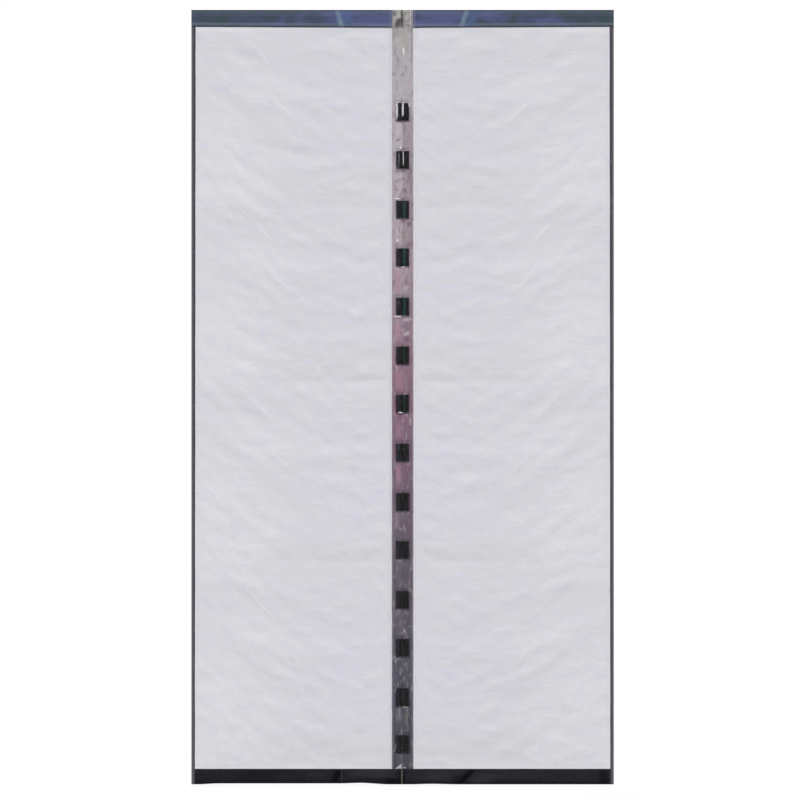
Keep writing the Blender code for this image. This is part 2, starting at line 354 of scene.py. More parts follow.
class PieceRecipe(Recipe):
    """The node tree of one piece's material, with patterns on the piece's own coordinates."""

    def __init__(self, name: str) -> None:
        """Makes an empty node material.

        Args:
            name: The material's name.
        """
        self.material = bpy.data.materials.new(name)
        super().__init__(self.material)
        self.place = self.add("ShaderNodeTexCoord", {}, {}, "Object")
        self.x = self.add("ShaderNodeSeparateXYZ", {}, {"Vector": self.place}, "X")
        self.z = self.add("ShaderNodeSeparateXYZ", {}, {"Vector": self.place}, "Z")

    def noise(
        self, stretch: tuple[float, float, float], detail: float = 3.0, swirl: float = 0.0
    ) -> Value:
        """Smooth noise from 0 to 1.

        Args:
            stretch: Blotches a metre along each axis.
            detail: How many finer layers it has.
            swirl: How far it is distorted.

        Returns:
            The noise.
        """
        place = self.add("ShaderNodeMapping", {}, {"Vector": self.place, "Scale": stretch})
        inputs = {"Vector": place, "Scale": 1.0, "Detail": detail, "Distortion": swirl}
        return self.add("ShaderNodeTexNoise", {}, inputs)

    def bump(self, height: Value, depth: float) -> Value:
        """Turns a height from 0 to 1 into a normal.

        Args:
            height: The height.
            depth: What a height of 1 stands for, in metres.

        Returns:
            The normal.
        """
        inputs = {"Height": height, "Distance": depth, "Strength": 1.0}
        return self.add("ShaderNodeBump", {}, inputs)

    def finish(self, shader: Value) -> bpy.types.Material:
        """Joins the shader to the material's output and returns the material."""
        self.add_output("ShaderNodeOutputMaterial", shader)
        return self.material

    def coat(self, **sockets: Term) -> bpy.types.Material:
        """Finishes the material with one Principled shader.

        Args:
            sockets: Its inputs; underscores stand for the spaces in their names.

        Returns:
            The material.
        """
        inputs = {name.replace("_", " "): given for name, given in sockets.items()}
        return self.finish(self.add("ShaderNodeBsdfPrincipled", {}, inputs))


def binding_edge(recipe: PieceRecipe, plan: CurtainPlan) -> Value:
    """Returns the side binding's width at the height of each shaded point."""
    return plan.binding_bottom_width + (recipe.z - plan.bottom) * plan.binding_slope


# Finishes


@dataclass(frozen=True)
class FrostedFilmFinish:
    """Milky, slightly lavender plastic film with a satin face and fine handling wrinkles, with painted
    highlights along its drape lines and tape edges and painted shade beside the side binding.
    """

    name: str = "frosted_film_look"
    grey: tuple = linear(208.4, 208.2, 214.9)
    pale: tuple = linear(213.2, 212.6, 217.6)
    lavender: tuple = linear(209.6, 206.4, 218.0)
    warm: tuple = linear(208.2, 206.9, 211.0)
    green: tuple = linear(209.6, 210.8, 213.6)
    glint: tuple = linear(228.0, 228.0, 231.0)
    tape_edge_shade: tuple = linear(150, 150, 160)
    roughness: float = 0.46
    wrinkle_depth: float = 0.0014

    def make(self, plan: CurtainPlan) -> bpy.types.Material:
        """Returns the material."""
        recipe = PieceRecipe(self.name)
        reach = abs(recipe.x)
        drop = plan.top - recipe.z
        fields = plan.film_fields
        begun: Term = fields[0]
        ending: Term = fields[1]
        for before, start, after in zip(fields, fields[1:], fields[2:]):
            passed = drop.over(start)
            begun = begun + passed * (start - before)
            ending = ending + passed * (after - start)
        inside = drop - begun
        to_end = ending - drop
        clouds = recipe.noise((11.0, 1.0, 13.0), 3.0, 0.6) - 0.5
        patches = recipe.noise((19.0, 1.0, 26.0), 3.0, 0.8)
        outer = (reach + clouds * 0.25).rise(0.22, 0.50)
        colour = recipe.blend(outer * (inside.rise(0.05, 0.35) * 0.7 + 0.3), self.grey, self.pale)
        inner = (reach + clouds * 0.3).rise(0.36, 0.16)
        inner = inner * (inside + clouds * 0.1).band(0.27, 0.10, 0.13)
        colour = recipe.blend(inner * 0.8, colour, self.lavender)
        band = (to_end + clouds * 0.03).band(0.062, 0.038, 0.02)
        band = band * (reach + clouds * 0.2).rise(0.42, 0.32) * 0.9
        colour = recipe.blend(band, colour, self.warm)
        colour = recipe.blend(patches.rise(0.50, 0.68) * 0.9, colour, self.green)
        colour = recipe.blend(patches.rise(0.47, 0.30) * 0.9, colour, self.lavender)
        # Painted highlights: thin light lines along two drape lines in each field, broken up by the
        # patches.
        hang = inside + reach * reach * plan.film_droop + clouds * 0.016
        upper = hang.band(0.275, 0.0009, 0.0034) * reach.band(0.420, 0.030, 0.030)
        steep = hang + (reach - 0.350) * 0.32
        lower = steep.band(0.360, 0.0008, 0.0034) * reach.band(0.350, 0.030, 0.035)
        glints = upper.at_least(lower) * patches.rise(0.36, 0.60)
        colour = recipe.blend(glints * 0.26, colour, self.glint)
        from_side = plan.half_width - binding_edge(recipe, plan) - reach
        from_hem = recipe.z - plan.hem_top
        # Painted highlight along the side binding's edge, painted shade a little further in, and a
        # painted highlight along the hem's top edge.
        colour = recipe.blend(from_side.band(0.0018, 0.0006, 0.0012) * 0.30, colour, self.glint)
        colour = recipe.blend(from_side.band(0.0075, 0.0012, 0.0040) * 0.04, colour, self.tape_edge_shade)
        colour = recipe.blend(from_hem.band(0.0035, 0.0008, 0.0012) * 0.26, colour, self.glint)
        fine = recipe.noise((34.0, 34.0, 60.0), 4.0, 0.8)
        soft = recipe.noise((7.0, 7.0, 15.0), 3.0, 1.2)
        ridges = glints * 0.3
        normal = recipe.bump(fine * 0.35 + soft + ridges, self.wrinkle_depth)
        return recipe.coat(
            Base_Color=colour,
            Roughness=self.roughness + (fine - 0.5) * 0.1,
            Specular_IOR_Level=0.32,
            Normal=normal,
        )


class Tone(Enum):
    """What a mark on the film or on the satin looks like; the value is its colour. The comments above
    the tones say which of them are painted light.
    """

    # Painted highlight: glints of lamp reflections; also the white of the clear film's milky haze.
    GLINT = linear(238, 236, 240)
    # Pale tint of the film's mottling; the pale marks on the clear front wall are painted crinkle
    # highlights.
    PALE = linear(202, 192, 200)
    OLIVE = linear(168, 168, 150)
    ROSE = linear(190, 138, 158)
    PLUM = linear(104, 70, 96)
    SLATE = linear(58, 60, 80)
    # Smoky dark tint, which its marks also use as painted shade in crinkles, at the split and beside
    # the pockets.
    SMOKE = linear(54, 50, 50)
    # Painted sheen on the black satin.
    SATIN = linear(54, 53, 60)
    # Painted shade: crease shadows, the dark gap at the split and the dark corners of the hem.
    PAINTED_SHADE = linear(4, 4, 6)
    # Painted highlight on the hem's folded end at the split.
    HEM_END_HIGHLIGHT = linear(112, 106, 98)


@dataclass(frozen=True)
class FilmMark:
    """A glint, crease, haze or shaded dent on the clear strip or on the bottom hem.

    `x` and `z` are its middle; `lean` is how far it moves along X for each metre of height.
    """

    tone: Tone
    x: float
    z: float
    half_width: float
    half_height: float
    strength: float
    lean: float = 0.0
    wobble: float = 0.0

    def mask(self, recipe: PieceRecipe, wander: Value) -> Value:
        """Where the mark shows, from 0 to its strength.

        Args:
            recipe: The recipe that it is drawn in.
            wander: Noise that makes a wobbling mark uneven.

        Returns:
            The mask.
        """
        across = recipe.x - self.x - (recipe.z - self.z) * self.lean
        if self.wobble:
            across = across + (wander - 0.5) * self.wobble
        shown = across.band(0.0, self.half_width * 0.15, self.half_width * 1.4)
        level = recipe.z.band(self.z, self.half_height * 0.45, self.half_height * 0.85)
        return shown * level * self.strength


# Marks on the clear front wall: the glint marks are painted highlights, reflections on the upper
# pockets and crescents at the pockets' ends; the pale marks are painted crinkle highlights; the olive
# mark is an olive-tinted streak.
FRONT_MARKS = (
    FilmMark(Tone.GLINT, -0.0159, -0.2602, 0.0018, 0.0240, 0.90, wobble=0.007),
    FilmMark(Tone.GLINT, 0.0006, -0.2560, 0.0024, 0.0205, 0.95, lean=0.03, wobble=0.003),
    FilmMark(Tone.GLINT, 0.0186, -0.2446, 0.0014, 0.0070, 0.85, wobble=0.002),
    FilmMark(Tone.GLINT, 0.0016, -0.3950, 0.0014, 0.0220, 0.55, wobble=0.002),
    FilmMark(Tone.GLINT, -0.0102, -0.3990, 0.0012, 0.0230, 0.16, wobble=0.002),
    FilmMark(Tone.GLINT, -0.0056, -0.3660, 0.0020, 0.0030, 0.90),
    FilmMark(Tone.GLINT, -0.0234, -0.3738, 0.0016, 0.0026, 0.60),
    FilmMark(Tone.GLINT, -0.0160, -0.5110, 0.0085, 0.0018, 0.70, wobble=0.004),
    FilmMark(Tone.GLINT, 0.0020, -0.7062, 0.0044, 0.0014, 0.80, wobble=0.002),
    FilmMark(Tone.GLINT, -0.0140, -0.8462, 0.0110, 0.0022, 0.60, wobble=0.006),
    FilmMark(Tone.GLINT, -0.0060, -1.1188, 0.0060, 0.0017, 0.85),
    FilmMark(Tone.GLINT, -0.0080, -1.5390, 0.0120, 0.0012, 0.22, wobble=0.003),
    FilmMark(Tone.GLINT, 0.0070, -1.9560, 0.0080, 0.0020, 0.24, wobble=0.003),
    FilmMark(Tone.GLINT, -0.0031, -0.0287, 0.0016, 0.0034, 0.80),
    FilmMark(Tone.GLINT, 0.0026, -0.0930, 0.0026, 0.0110, 0.75, wobble=0.001),
    FilmMark(Tone.GLINT, 0.0225, 0.0020, 0.0010, 0.0230, 0.35, wobble=0.001),
    FilmMark(Tone.GLINT, 0.0060, -2.1275, 0.0024, 0.0022, 0.45),
    FilmMark(Tone.GLINT, -0.0150, -0.6300, 0.0034, 0.0040, 0.70, wobble=0.002),
    FilmMark(Tone.PALE, -0.0150, -0.6080, 0.0050, 0.0110, 0.55, lean=-0.2, wobble=0.004),
    FilmMark(Tone.PALE, 0.0097, -0.7663, 0.0085, 0.0080, 0.34, lean=0.4, wobble=0.010),
    FilmMark(Tone.PALE, 0.0115, -0.8560, 0.0110, 0.0045, 0.42, lean=1.2, wobble=0.008),
    FilmMark(Tone.PALE, 0.0111, -0.8942, 0.0085, 0.0070, 0.44, lean=0.6, wobble=0.010),
    FilmMark(Tone.PALE, 0.0220, -1.1450, 0.0034, 0.0130, 0.30, wobble=0.006),
    FilmMark(Tone.PALE, -0.0140, -1.6880, 0.0090, 0.0140, 0.13, lean=0.3, wobble=0.010),
    FilmMark(Tone.PALE, -0.0060, -1.7200, 0.0080, 0.0140, 0.10, lean=-0.2, wobble=0.010),
    FilmMark(Tone.PALE, -0.0200, -1.8250, 0.0030, 0.0070, 0.22, wobble=0.006),
    FilmMark(Tone.OLIVE, 0.0110, -1.9860, 0.0060, 0.0240, 0.15, wobble=0.006),
)
# Marks on the tinted back wall: pale, olive, rose and plum blotches of the film's tint; the smoky
# marks are partly painted shade, in the crinkles at the top, along the split and along the pockets'
# outer feet.
BACK_MARKS = (
    FilmMark(Tone.PALE, -0.0145, 0.0020, 0.0060, 0.0120, 0.75, lean=0.75, wobble=0.003),
    FilmMark(Tone.OLIVE, -0.0060, 0.0160, 0.0090, 0.0070, 0.50, wobble=0.006),
    FilmMark(Tone.SMOKE, -0.0130, -0.0120, 0.0110, 0.0150, 0.90, lean=0.30, wobble=0.006),
    FilmMark(Tone.SMOKE, -0.0230, 0.0150, 0.0060, 0.0080, 0.60, wobble=0.004),
    FilmMark(Tone.OLIVE, 0.0120, 0.0160, 0.0120, 0.0080, 0.60, wobble=0.006),
    FilmMark(Tone.SMOKE, 0.0020, -0.0040, 0.0060, 0.0260, 0.30, wobble=0.004),
    FilmMark(Tone.SMOKE, -0.0030, 0.0010, 0.0028, 0.0300, 0.90, wobble=0.001),
    FilmMark(Tone.SMOKE, 0.0080, 0.0140, 0.0050, 0.0060, 0.30, lean=0.9, wobble=0.008),
    FilmMark(Tone.SMOKE, 0.0100, -0.0064, 0.0095, 0.0034, 0.34, lean=0.5, wobble=0.010),
    FilmMark(Tone.SMOKE, 0.0125, -0.0180, 0.0110, 0.0048, 0.36, lean=-0.4, wobble=0.010),
    FilmMark(Tone.OLIVE, 0.0060, -0.0560, 0.0060, 0.0400, 0.50, wobble=0.004),
    FilmMark(Tone.PLUM, -0.0170, -0.0380, 0.0080, 0.0160, 0.26, wobble=0.006),
    FilmMark(Tone.SMOKE, -0.0130, -0.1260, 0.0080, 0.0200, 0.18, wobble=0.006),
    FilmMark(Tone.SMOKE, 0.0258, -0.0550, 0.0013, 0.0900, 0.50, wobble=0.001),
    FilmMark(Tone.SMOKE, 0.0252, -1.2000, 0.0010, 0.9000, 0.34, wobble=0.001),
    FilmMark(Tone.SMOKE, -0.0250, -1.1000, 0.0008, 1.0000, 0.16, wobble=0.001),
    FilmMark(Tone.PALE, -0.0120, -0.3130, 0.0090, 0.0200, 0.60, wobble=0.008),
    FilmMark(Tone.PLUM, -0.0120, -0.3440, 0.0060, 0.0050, 0.50, lean=0.6, wobble=0.004),
    FilmMark(Tone.PLUM, 0.0050, -0.3060, 0.0035, 0.0200, 0.40, wobble=0.004),
    FilmMark(Tone.PLUM, -0.0010, -0.4330, 0.0180, 0.0050, 0.46, wobble=0.008),
    FilmMark(Tone.PLUM, -0.0130, -0.4600, 0.0080, 0.0060, 0.34, lean=1.0, wobble=0.008),
    FilmMark(Tone.PLUM, 0.0070, -0.4880, 0.0040, 0.0070, 0.60, wobble=0.004),
    FilmMark(Tone.PLUM, 0.0230, -0.4600, 0.0014, 0.0420, 0.60, wobble=0.001),
    FilmMark(Tone.PLUM, 0.0010, -0.5760, 0.0080, 0.0050, 0.60, wobble=0.006),
    FilmMark(Tone.OLIVE, 0.0080, -0.6080, 0.0050, 0.0200, 0.45, wobble=0.005),
    FilmMark(Tone.ROSE, -0.0130, -0.7500, 0.0090, 0.0300, 0.42, wobble=0.008),
    FilmMark(Tone.ROSE, -0.0120, -0.8900, 0.0090, 0.0260, 0.45, wobble=0.008),
    FilmMark(Tone.PLUM, 0.0100, -0.7464, 0.0055, 0.0080, 0.36, wobble=0.008),
    FilmMark(Tone.PLUM, 0.0105, -0.8700, 0.0090, 0.0090, 0.46, lean=0.5, wobble=0.010),
    FilmMark(Tone.PLUM, 0.0105, -0.9110, 0.0090, 0.0075, 0.62, lean=-0.6, wobble=0.008),
    FilmMark(Tone.PLUM, 0.0105, -0.9830, 0.0075, 0.0050, 0.40, wobble=0.006),
    FilmMark(Tone.ROSE, 0.0200, -0.9230, 0.0040, 0.0070, 0.50, wobble=0.003),
    FilmMark(Tone.ROSE, -0.0100, -1.0280, 0.0120, 0.0300, 0.34, wobble=0.010),
    FilmMark(Tone.OLIVE, 0.0080, -1.0300, 0.0060, 0.0200, 0.20, wobble=0.006),
    FilmMark(Tone.PLUM, 0.0160, -1.0260, 0.0014, 0.0240, 0.40, wobble=0.001),
    FilmMark(Tone.ROSE, 0.0020, -1.1420, 0.0050, 0.0060, 0.45, wobble=0.004),
    FilmMark(Tone.ROSE, -0.0110, -1.1720, 0.0090, 0.0200, 0.34, wobble=0.008),
    FilmMark(Tone.ROSE, -0.0120, -1.2960, 0.0070, 0.0260, 0.50, wobble=0.006),
    FilmMark(Tone.PLUM, 0.0100, -1.3100, 0.0090, 0.0200, 0.24, wobble=0.006),
    FilmMark(Tone.PALE, -0.0160, -1.4280, 0.0080, 0.0240, 0.16, wobble=0.006),
    FilmMark(Tone.PLUM, 0.0170, -1.5900, 0.0016, 0.0300, 0.40, wobble=0.002),
    FilmMark(Tone.SMOKE, 0.0130, -1.7000, 0.0080, 0.0260, 0.28, wobble=0.006),
    FilmMark(Tone.SMOKE, 0.0120, -1.8400, 0.0080, 0.0260, 0.28, wobble=0.006),
    FilmMark(Tone.PALE, -0.0110, -1.9800, 0.0090, 0.0200, 0.14, wobble=0.006),
    FilmMark(Tone.SMOKE, -0.0170, -2.1220, 0.0070, 0.0035, 0.75, wobble=0.004),
    FilmMark(Tone.SMOKE, 0.0140, -2.1280, 0.0090, 0.0030, 0.45, wobble=0.004),
)
# Marks on the satin: the lighter satin marks are painted sheen, with a painted highlight beside the
# left crease; the darkest marks are painted shade of the creases, of the gap at the split and of the
# corners; the light line at the split is a painted highlight on the hem's folded end.
HEM_MARKS = (
    FilmMark(Tone.SATIN, -0.1148, -2.1430, 0.0420, 0.0130, 0.50, wobble=0.004),
    FilmMark(Tone.SATIN, -0.0560, -2.1430, 0.0300, 0.0120, 0.62, wobble=0.006),
    FilmMark(Tone.PAINTED_SHADE, -0.4060, -2.1520, 0.0600, 0.0240, 0.30, wobble=0.010),
    FilmMark(Tone.SATIN, -0.2400, -2.1500, 0.0300, 0.0100, 0.22, wobble=0.004),
    FilmMark(Tone.SATIN, 0.1000, -2.1500, 0.0500, 0.0140, 0.40, wobble=0.004),
    FilmMark(Tone.SATIN, 0.2280, -2.1580, 0.0320, 0.0140, 0.46, lean=0.9, wobble=0.004),
    FilmMark(Tone.SATIN, 0.3300, -2.1480, 0.0800, 0.0100, 0.20, wobble=0.004),
    FilmMark(Tone.PAINTED_SHADE, -0.1880, -2.1520, 0.0110, 0.0300, 0.90, lean=0.45),
    FilmMark(Tone.SATIN, -0.1730, -2.1510, 0.0016, 0.0260, 0.95),
    FilmMark(Tone.PAINTED_SHADE, 0.1800, -2.1532, 0.0110, 0.0300, 0.95, lean=0.95),
    FilmMark(Tone.PAINTED_SHADE, 0.1560, -2.1600, 0.0160, 0.0120, 0.45, lean=0.95),
    FilmMark(Tone.PAINTED_SHADE, -0.0300, -2.1650, 0.0240, 0.0080, 0.70),
    FilmMark(Tone.PAINTED_SHADE, -0.0088, -2.1520, 0.0034, 0.0300, 0.60),
    FilmMark(Tone.PAINTED_SHADE, 0.0040, -2.1520, 0.0030, 0.0300, 0.85),
    FilmMark(Tone.HEM_END_HIGHLIGHT, -0.0024, -2.1530, 0.0013, 0.0300, 0.70, wobble=0.001),
    FilmMark(Tone.PAINTED_SHADE, 0.5720, -2.1550, 0.0140, 0.0300, 0.60),
)


@dataclass(frozen=True)
class ClearFilmFinish:
    """Clear film: see-through with a gloss, milky where it is welded and where it is creased, with
    painted glints over the pockets and painted shade at the split low down.
    """

    name: str = "clear_film_look"
    haze: float = 0.05
    roughness: float = 0.07

    def make(self, plan: CurtainPlan) -> bpy.types.Material:
        """Returns the material."""
        recipe = PieceRecipe(self.name)
        reach = abs(recipe.x)
        streaks = recipe.noise((420.0, 1.0, 3.0), 2.0, 0.2)
        scuffs = recipe.noise((150.0, 1.0, 60.0), 3.0, 1.2)
        lap = reach.rise(plan.strip_width - 0.0012, plan.strip_width + 0.0006)
        weld = recipe.x.band(plan.strip_width + 0.0027, 0.0007, 0.0012)
        left_weld = recipe.x.band(-plan.strip_width - 0.0048, 0.0012, 0.0016)
        wander = recipe.noise((60.0, 60.0, 170.0), 3.0, 0.6)
        colour: Shade = linear(70, 66, 70)
        shown: Term = self.haze
        # Painted highlights and crinkle highlights from the front table, drawn into the colour and the
        # alpha.
        for mark in FRONT_MARKS:
            mask = mark.mask(recipe, wander)
            colour = recipe.blend(mask.rise(0.0, 0.2), colour, mark.tone.value)
            shown = mask.at_least(shown)
        pleat = (recipe.x + 0.0235) / 0.0205
        above = (recipe.z - (plan.hem_top - 0.0010 + pleat * 0.0022)).rise(0.0, 0.0008)
        below = (plan.hem_top - 0.0002 + pleat * 0.0155 - recipe.z).rise(0.0, 0.0010)
        flap = above * below * recipe.x.rise(-0.0028, -0.0036) * (0.20 + scuffs * 0.24)
        fading = recipe.z.rise(-1.75, -1.25) * 0.11 + 0.05
        hazy = scuffs.rise(0.60, 0.80) * fading * (1 - lap)
        milky = hazy.at_least(flap).at_least(lap).rise(0.0, 0.12)
        colour = recipe.blend(milky, colour, Tone.GLINT.value)
        alpha = lap * 0.10 + weld * 0.55 + left_weld * 0.15 + streaks.rise(0.62, 0.8) * 0.05
        # Painted shade: low down, the film turns half opaque and dark right at the split, where the
        # gap between the magnets lies in shade.
        split_shade = reach.rise(0.0011, 0.0004) * recipe.z.rise(-1.3, -1.6) * 0.4
        alpha = (alpha + hazy + self.haze).at_least(flap).at_least(shown).at_least(split_shade)
        ripples = recipe.noise((90.0, 40.0, 26.0), 3.0, 0.6)
        return recipe.coat(
            Base_Color=colour,
            Roughness=self.roughness + streaks * 0.06,
            Specular_IOR_Level=0.5,
            Alpha=alpha,
            Normal=recipe.bump(ripples, 0.0003),
        )


@dataclass(frozen=True)
class TintedFilmFinish:
    """The sleeve's back wall, tinted mauve: pale at the top and smoky towards the floor, with painted
    shade behind the magnets.
    """

    name: str = "tinted_film_look"
    shadow_half: float = 0.0245

    def make(self, plan: CurtainPlan) -> bpy.types.Material:
        """Returns the material."""
        recipe = PieceRecipe(self.name)
        reach = abs(recipe.x)
        drop = (plan.top - recipe.z) / (plan.top - plan.bottom)
        stops = [
            (0.00, linear(176, 174, 173)),
            (0.07, linear(188, 182, 187)),
            (0.20, linear(190, 180, 189)),
            (0.30, linear(182, 167, 176)),
            (0.36, linear(166, 148, 161)),
            (0.48, linear(136, 103, 122)),
            (0.60, linear(114, 91, 112)),
            (0.70, linear(95, 86, 100)),
            (0.79, linear(90, 84, 98)),
            (0.86, linear(71, 70, 86)),
            (0.97, linear(62, 62, 74)),
        ]
        tint = recipe.add("ShaderNodeValToRGB", {"stops": stops}, {"Fac": drop})
        streaks = recipe.noise((420.0, 1.0, 4.0), 3.0, 0.3)
        blotches = recipe.noise((80.0, 1.0, 34.0), 4.0, 0.9)
        rosy = recipe.noise((56.0, 1.0, 34.0), 3.0, 0.8)
        warmth = recipe.z.band(-0.92, 0.30, 0.40)
        below_first = recipe.z.rise(-0.25, -0.28)
        right_half = recipe.x.rise(-0.004, 0.004) * below_first
        right_shade = right_half * (recipe.z.band(-0.46, 0.17, 0.04) * 0.26 + 0.10)
        tint = recipe.blend(streaks.rise(0.50, 0.85) * 0.30, tint, Tone.PALE.value)
        tint = recipe.blend(rosy.rise(0.52, 0.78) * warmth * 0.45, tint, Tone.ROSE.value)
        tint = recipe.blend(blotches.rise(0.46, 0.26) * 0.42, tint, Tone.PALE.value)
        shade = recipe.blend(recipe.z.rise(-1.35, -1.65), Tone.PLUM.value, Tone.SLATE.value)
        tint = recipe.blend(right_shade + blotches.rise(0.50, 0.74) * 0.52, tint, shade)
        edge = reach.rise(0.0235, 0.0285)
        tint = recipe.blend(edge * 0.22, tint, linear(176, 172, 178))
        wander = recipe.noise((60.0, 60.0, 120.0), 3.0, 0.6)
        for mark in BACK_MARKS:
            tint = recipe.blend(mark.mask(recipe, wander), tint, mark.tone.value)
        # Painted shade: the back wall behind each magnet is painted nearly black.
        behind: Term = 0.0
        for number in range(plan.magnets_per_side):
            pocket = recipe.z.band(plan.magnet_height(number), self.shadow_half, 0.0008)
            behind = pocket.at_least(behind)
        between = reach.rise(0.0186, 0.0170)
        tint = recipe.blend(behind * between, tint, linear(30, 34, 33))
        return recipe.coat(
            Base_Color=tint,
            Roughness=0.16,
            Specular_IOR_Level=0.4,
        )


@dataclass(frozen=True)
class HeaderClothFinish:
    """Navy polyester tape with cloudy teal patches, a pressed line, and along each fold a painted glow
    and a painted highlight.
    """

    name: str = "header_cloth_look"
    navy: tuple = linear(67, 75, 104)
    teal: tuple = linear(56, 72, 80)
    violet: tuple = linear(84, 90, 134)
    dusk: tuple = linear(56, 60, 78)
    pressed: tuple = linear(124, 136, 148)
    stitched: tuple = linear(122, 120, 150)
    mouth_light: tuple = linear(128, 138, 150)
    mouth_dark: tuple = linear(36, 32, 44)
    fold_glow: tuple = linear(84, 112, 158)
    fold_highlight: tuple = linear(134, 156, 166)
    top_dark: tuple = linear(42, 56, 58)
    end_light: tuple = linear(136, 138, 160)
    between_threads: tuple = linear(36, 40, 58)

    def make(self, plan: CurtainPlan) -> bpy.types.Material:
        """Returns the material."""
        recipe = PieceRecipe(self.name)
        drop = plan.top - recipe.z
        reach = abs(recipe.x)
        to_mouth = plan.header_split_height - drop - reach * 0.005
        patches = recipe.noise((26.0, 16.0, 44.0), 4.0, 0.8)
        glow = recipe.noise((13.0, 9.0, 34.0), 3.0, 0.6)
        outer_part = reach.rise(0.42, 0.58) * 0.14
        colour = recipe.blend((patches + outer_part).rise(0.40, 0.66), self.navy, self.teal)
        inner_part = reach.rise(0.26, 0.10) * 0.20
        violet_share = (glow + inner_part - outer_part).rise(0.46, 0.72) * 0.9
        colour = recipe.blend(violet_share, colour, self.violet)
        colour = recipe.blend(glow.rise(0.42, 0.30) * 0.6, colour, self.dusk)
        colour = recipe.blend(drop.band(0.0075, 0.0012, 0.003) * 0.22, colour, self.pressed)
        colour = recipe.blend(drop.band(0.0155, 0.0005, 0.001) * 0.35, colour, self.stitched)
        colour = recipe.blend(to_mouth.band(0.0070, 0.0022, 0.005) * 0.36, colour, self.mouth_light)
        left_fold = recipe.x - drop * 0.31 + 0.1876
        right_fold = recipe.x + drop * 0.35 - 0.1830
        # Painted light on each fold: a lighter blue glow on the slope beside it and a highlight along
        # its ridge.
        for fold in (left_fold, right_fold):
            colour = recipe.blend(fold.band(0.018, 0.010, 0.018) * 0.34, colour, self.fold_glow)
            fold_ridge = abs(fold).rise(0.0120, 0.0005)
            colour = recipe.blend(fold_ridge * (patches * 0.9 + 0.05), colour, self.fold_highlight)
        colour = recipe.blend(to_mouth.rise(0.0046, 0.0022) * 0.85, colour, self.mouth_dark)
        colour = recipe.blend(drop.rise(0.0060, 0.0020) * 0.80, colour, self.top_dark)
        cut_end = reach.band(plan.header_inner_end + 0.0045, 0.0016, 0.0024)
        colour = recipe.blend(cut_end * 0.30, colour, self.end_light)
        warp = recipe.x.wave(0.0011)
        weft = recipe.z.wave(0.0009)
        weave = warp * weft * 0.5 + 0.5
        colour = recipe.blend(weave * 0.16, colour, self.between_threads)
        creases = recipe.noise((60.0, 60.0, 140.0), 4.0, 0.8)
        return recipe.coat(
            Base_Color=colour,
            Roughness=0.78 + (weave - 0.5) * 0.1,
            Specular_IOR_Level=0.25,
            Sheen_Weight=0.12,
            Sheen_Roughness=0.4,
            Normal=recipe.bump(weave * 0.3 + creases, 0.0006),
        )


@dataclass(frozen=True)
class BindingFinish:
    """Grosgrain binding tape, paler along its fold, with a dark line beside the film."""

    name: str = "binding_tape_look"

    def make(self, plan: CurtainPlan) -> bpy.types.Material:
        """Returns the material."""
        recipe = PieceRecipe(self.name)
        inset = plan.half_width - abs(recipe.x)
        wear = recipe.noise((60.0, 60.0, 24.0), 3.0, 0.5)
        colour = recipe.blend(inset.rise(0.0045, 0.0065), linear(104, 102, 110), linear(74, 72, 81))
        beside_film = (binding_edge(recipe, plan) - inset).band(0.0, 0.0005, 0.0012)
        colour = recipe.blend(beside_film * 0.8, colour, linear(28, 28, 34))
        colour = recipe.blend(wear.rise(0.55, 0.8) * 0.4, colour, linear(128, 126, 132))
        ribs = recipe.z.ribs(0.0016)
        threads = recipe.x.ribs(0.0007)
        colour = recipe.blend(ribs * 0.22, colour, linear(40, 40, 46))
        return recipe.coat(
            Base_Color=colour,
            Roughness=0.8,
            Specular_IOR_Level=0.25,
            Normal=recipe.bump(ribs + threads * 0.3 + wear, 0.0004),
        )


@dataclass(frozen=True)
class HemSatinFinish:
    """Black satin tape with soft handling creases, painted sheen and painted crease shadows; one half
    is a little bluer.
    """

    name: str = "hem_satin_look"

    def make(self, plan: CurtainPlan) -> bpy.types.Material:
        """Returns the material."""
        recipe = PieceRecipe(self.name)
        height = recipe.z - plan.bottom
        wear = recipe.noise((22.0, 22.0, 60.0), 3.0, 0.9)
        colour = recipe.blend(recipe.x.rise(-0.02, 0.03), linear(31, 30, 35), linear(35, 34, 40))
        colour = recipe.blend(wear.rise(0.48, 0.74) * 0.30, colour, linear(48, 48, 56))
        colour = recipe.blend(height.rise(0.015, 0.002) * 0.72, colour, linear(9, 9, 10))
        wander = recipe.noise((60.0, 60.0, 120.0), 3.0, 0.6)
        # Painted sheen, painted crease shadows and a painted highlight on the folded end, from the hem
        # table.
        for mark in HEM_MARKS:
            colour = recipe.blend(mark.mask(recipe, wander), colour, mark.tone.value)
        # Painted highlight along the upper seam's line.
        seam_highlight = height.band(0.0385, 0.0006, 0.0009) * 0.05
        colour = recipe.blend(seam_highlight, colour, linear(70, 70, 80))
        threads = recipe.x.ribs(0.0009)
        rows = recipe.z.ribs(0.0006)
        return recipe.coat(
            Base_Color=colour,
            Roughness=0.5 + wear * 0.14,
            Specular_IOR_Level=0.04,
            Normal=recipe.bump(wear + threads * 0.08 + rows * 0.05, 0.0007),
        )


@dataclass(frozen=True)
class LoopPileFinish:
    """Black loop tape: a dense pile of tiny loops."""

    name: str = "loop_pile_look"

    def make(self, plan: CurtainPlan) -> bpy.types.Material:
        """Returns the material."""
        recipe = PieceRecipe(self.name)
        loops = recipe.noise((900.0, 900.0, 900.0), 2.0, 0.6)
        rows = recipe.z.ribs(0.0021)
        colour = recipe.blend(loops.rise(0.4, 0.7), linear(22, 22, 26), linear(58, 58, 64))
        return recipe.coat(
            Base_Color=colour,
            Roughness=0.95,
            Specular_IOR_Level=0.2,
            Sheen_Weight=0.2,
            Normal=recipe.bump(loops + rows * 0.2, 0.0006),
        )


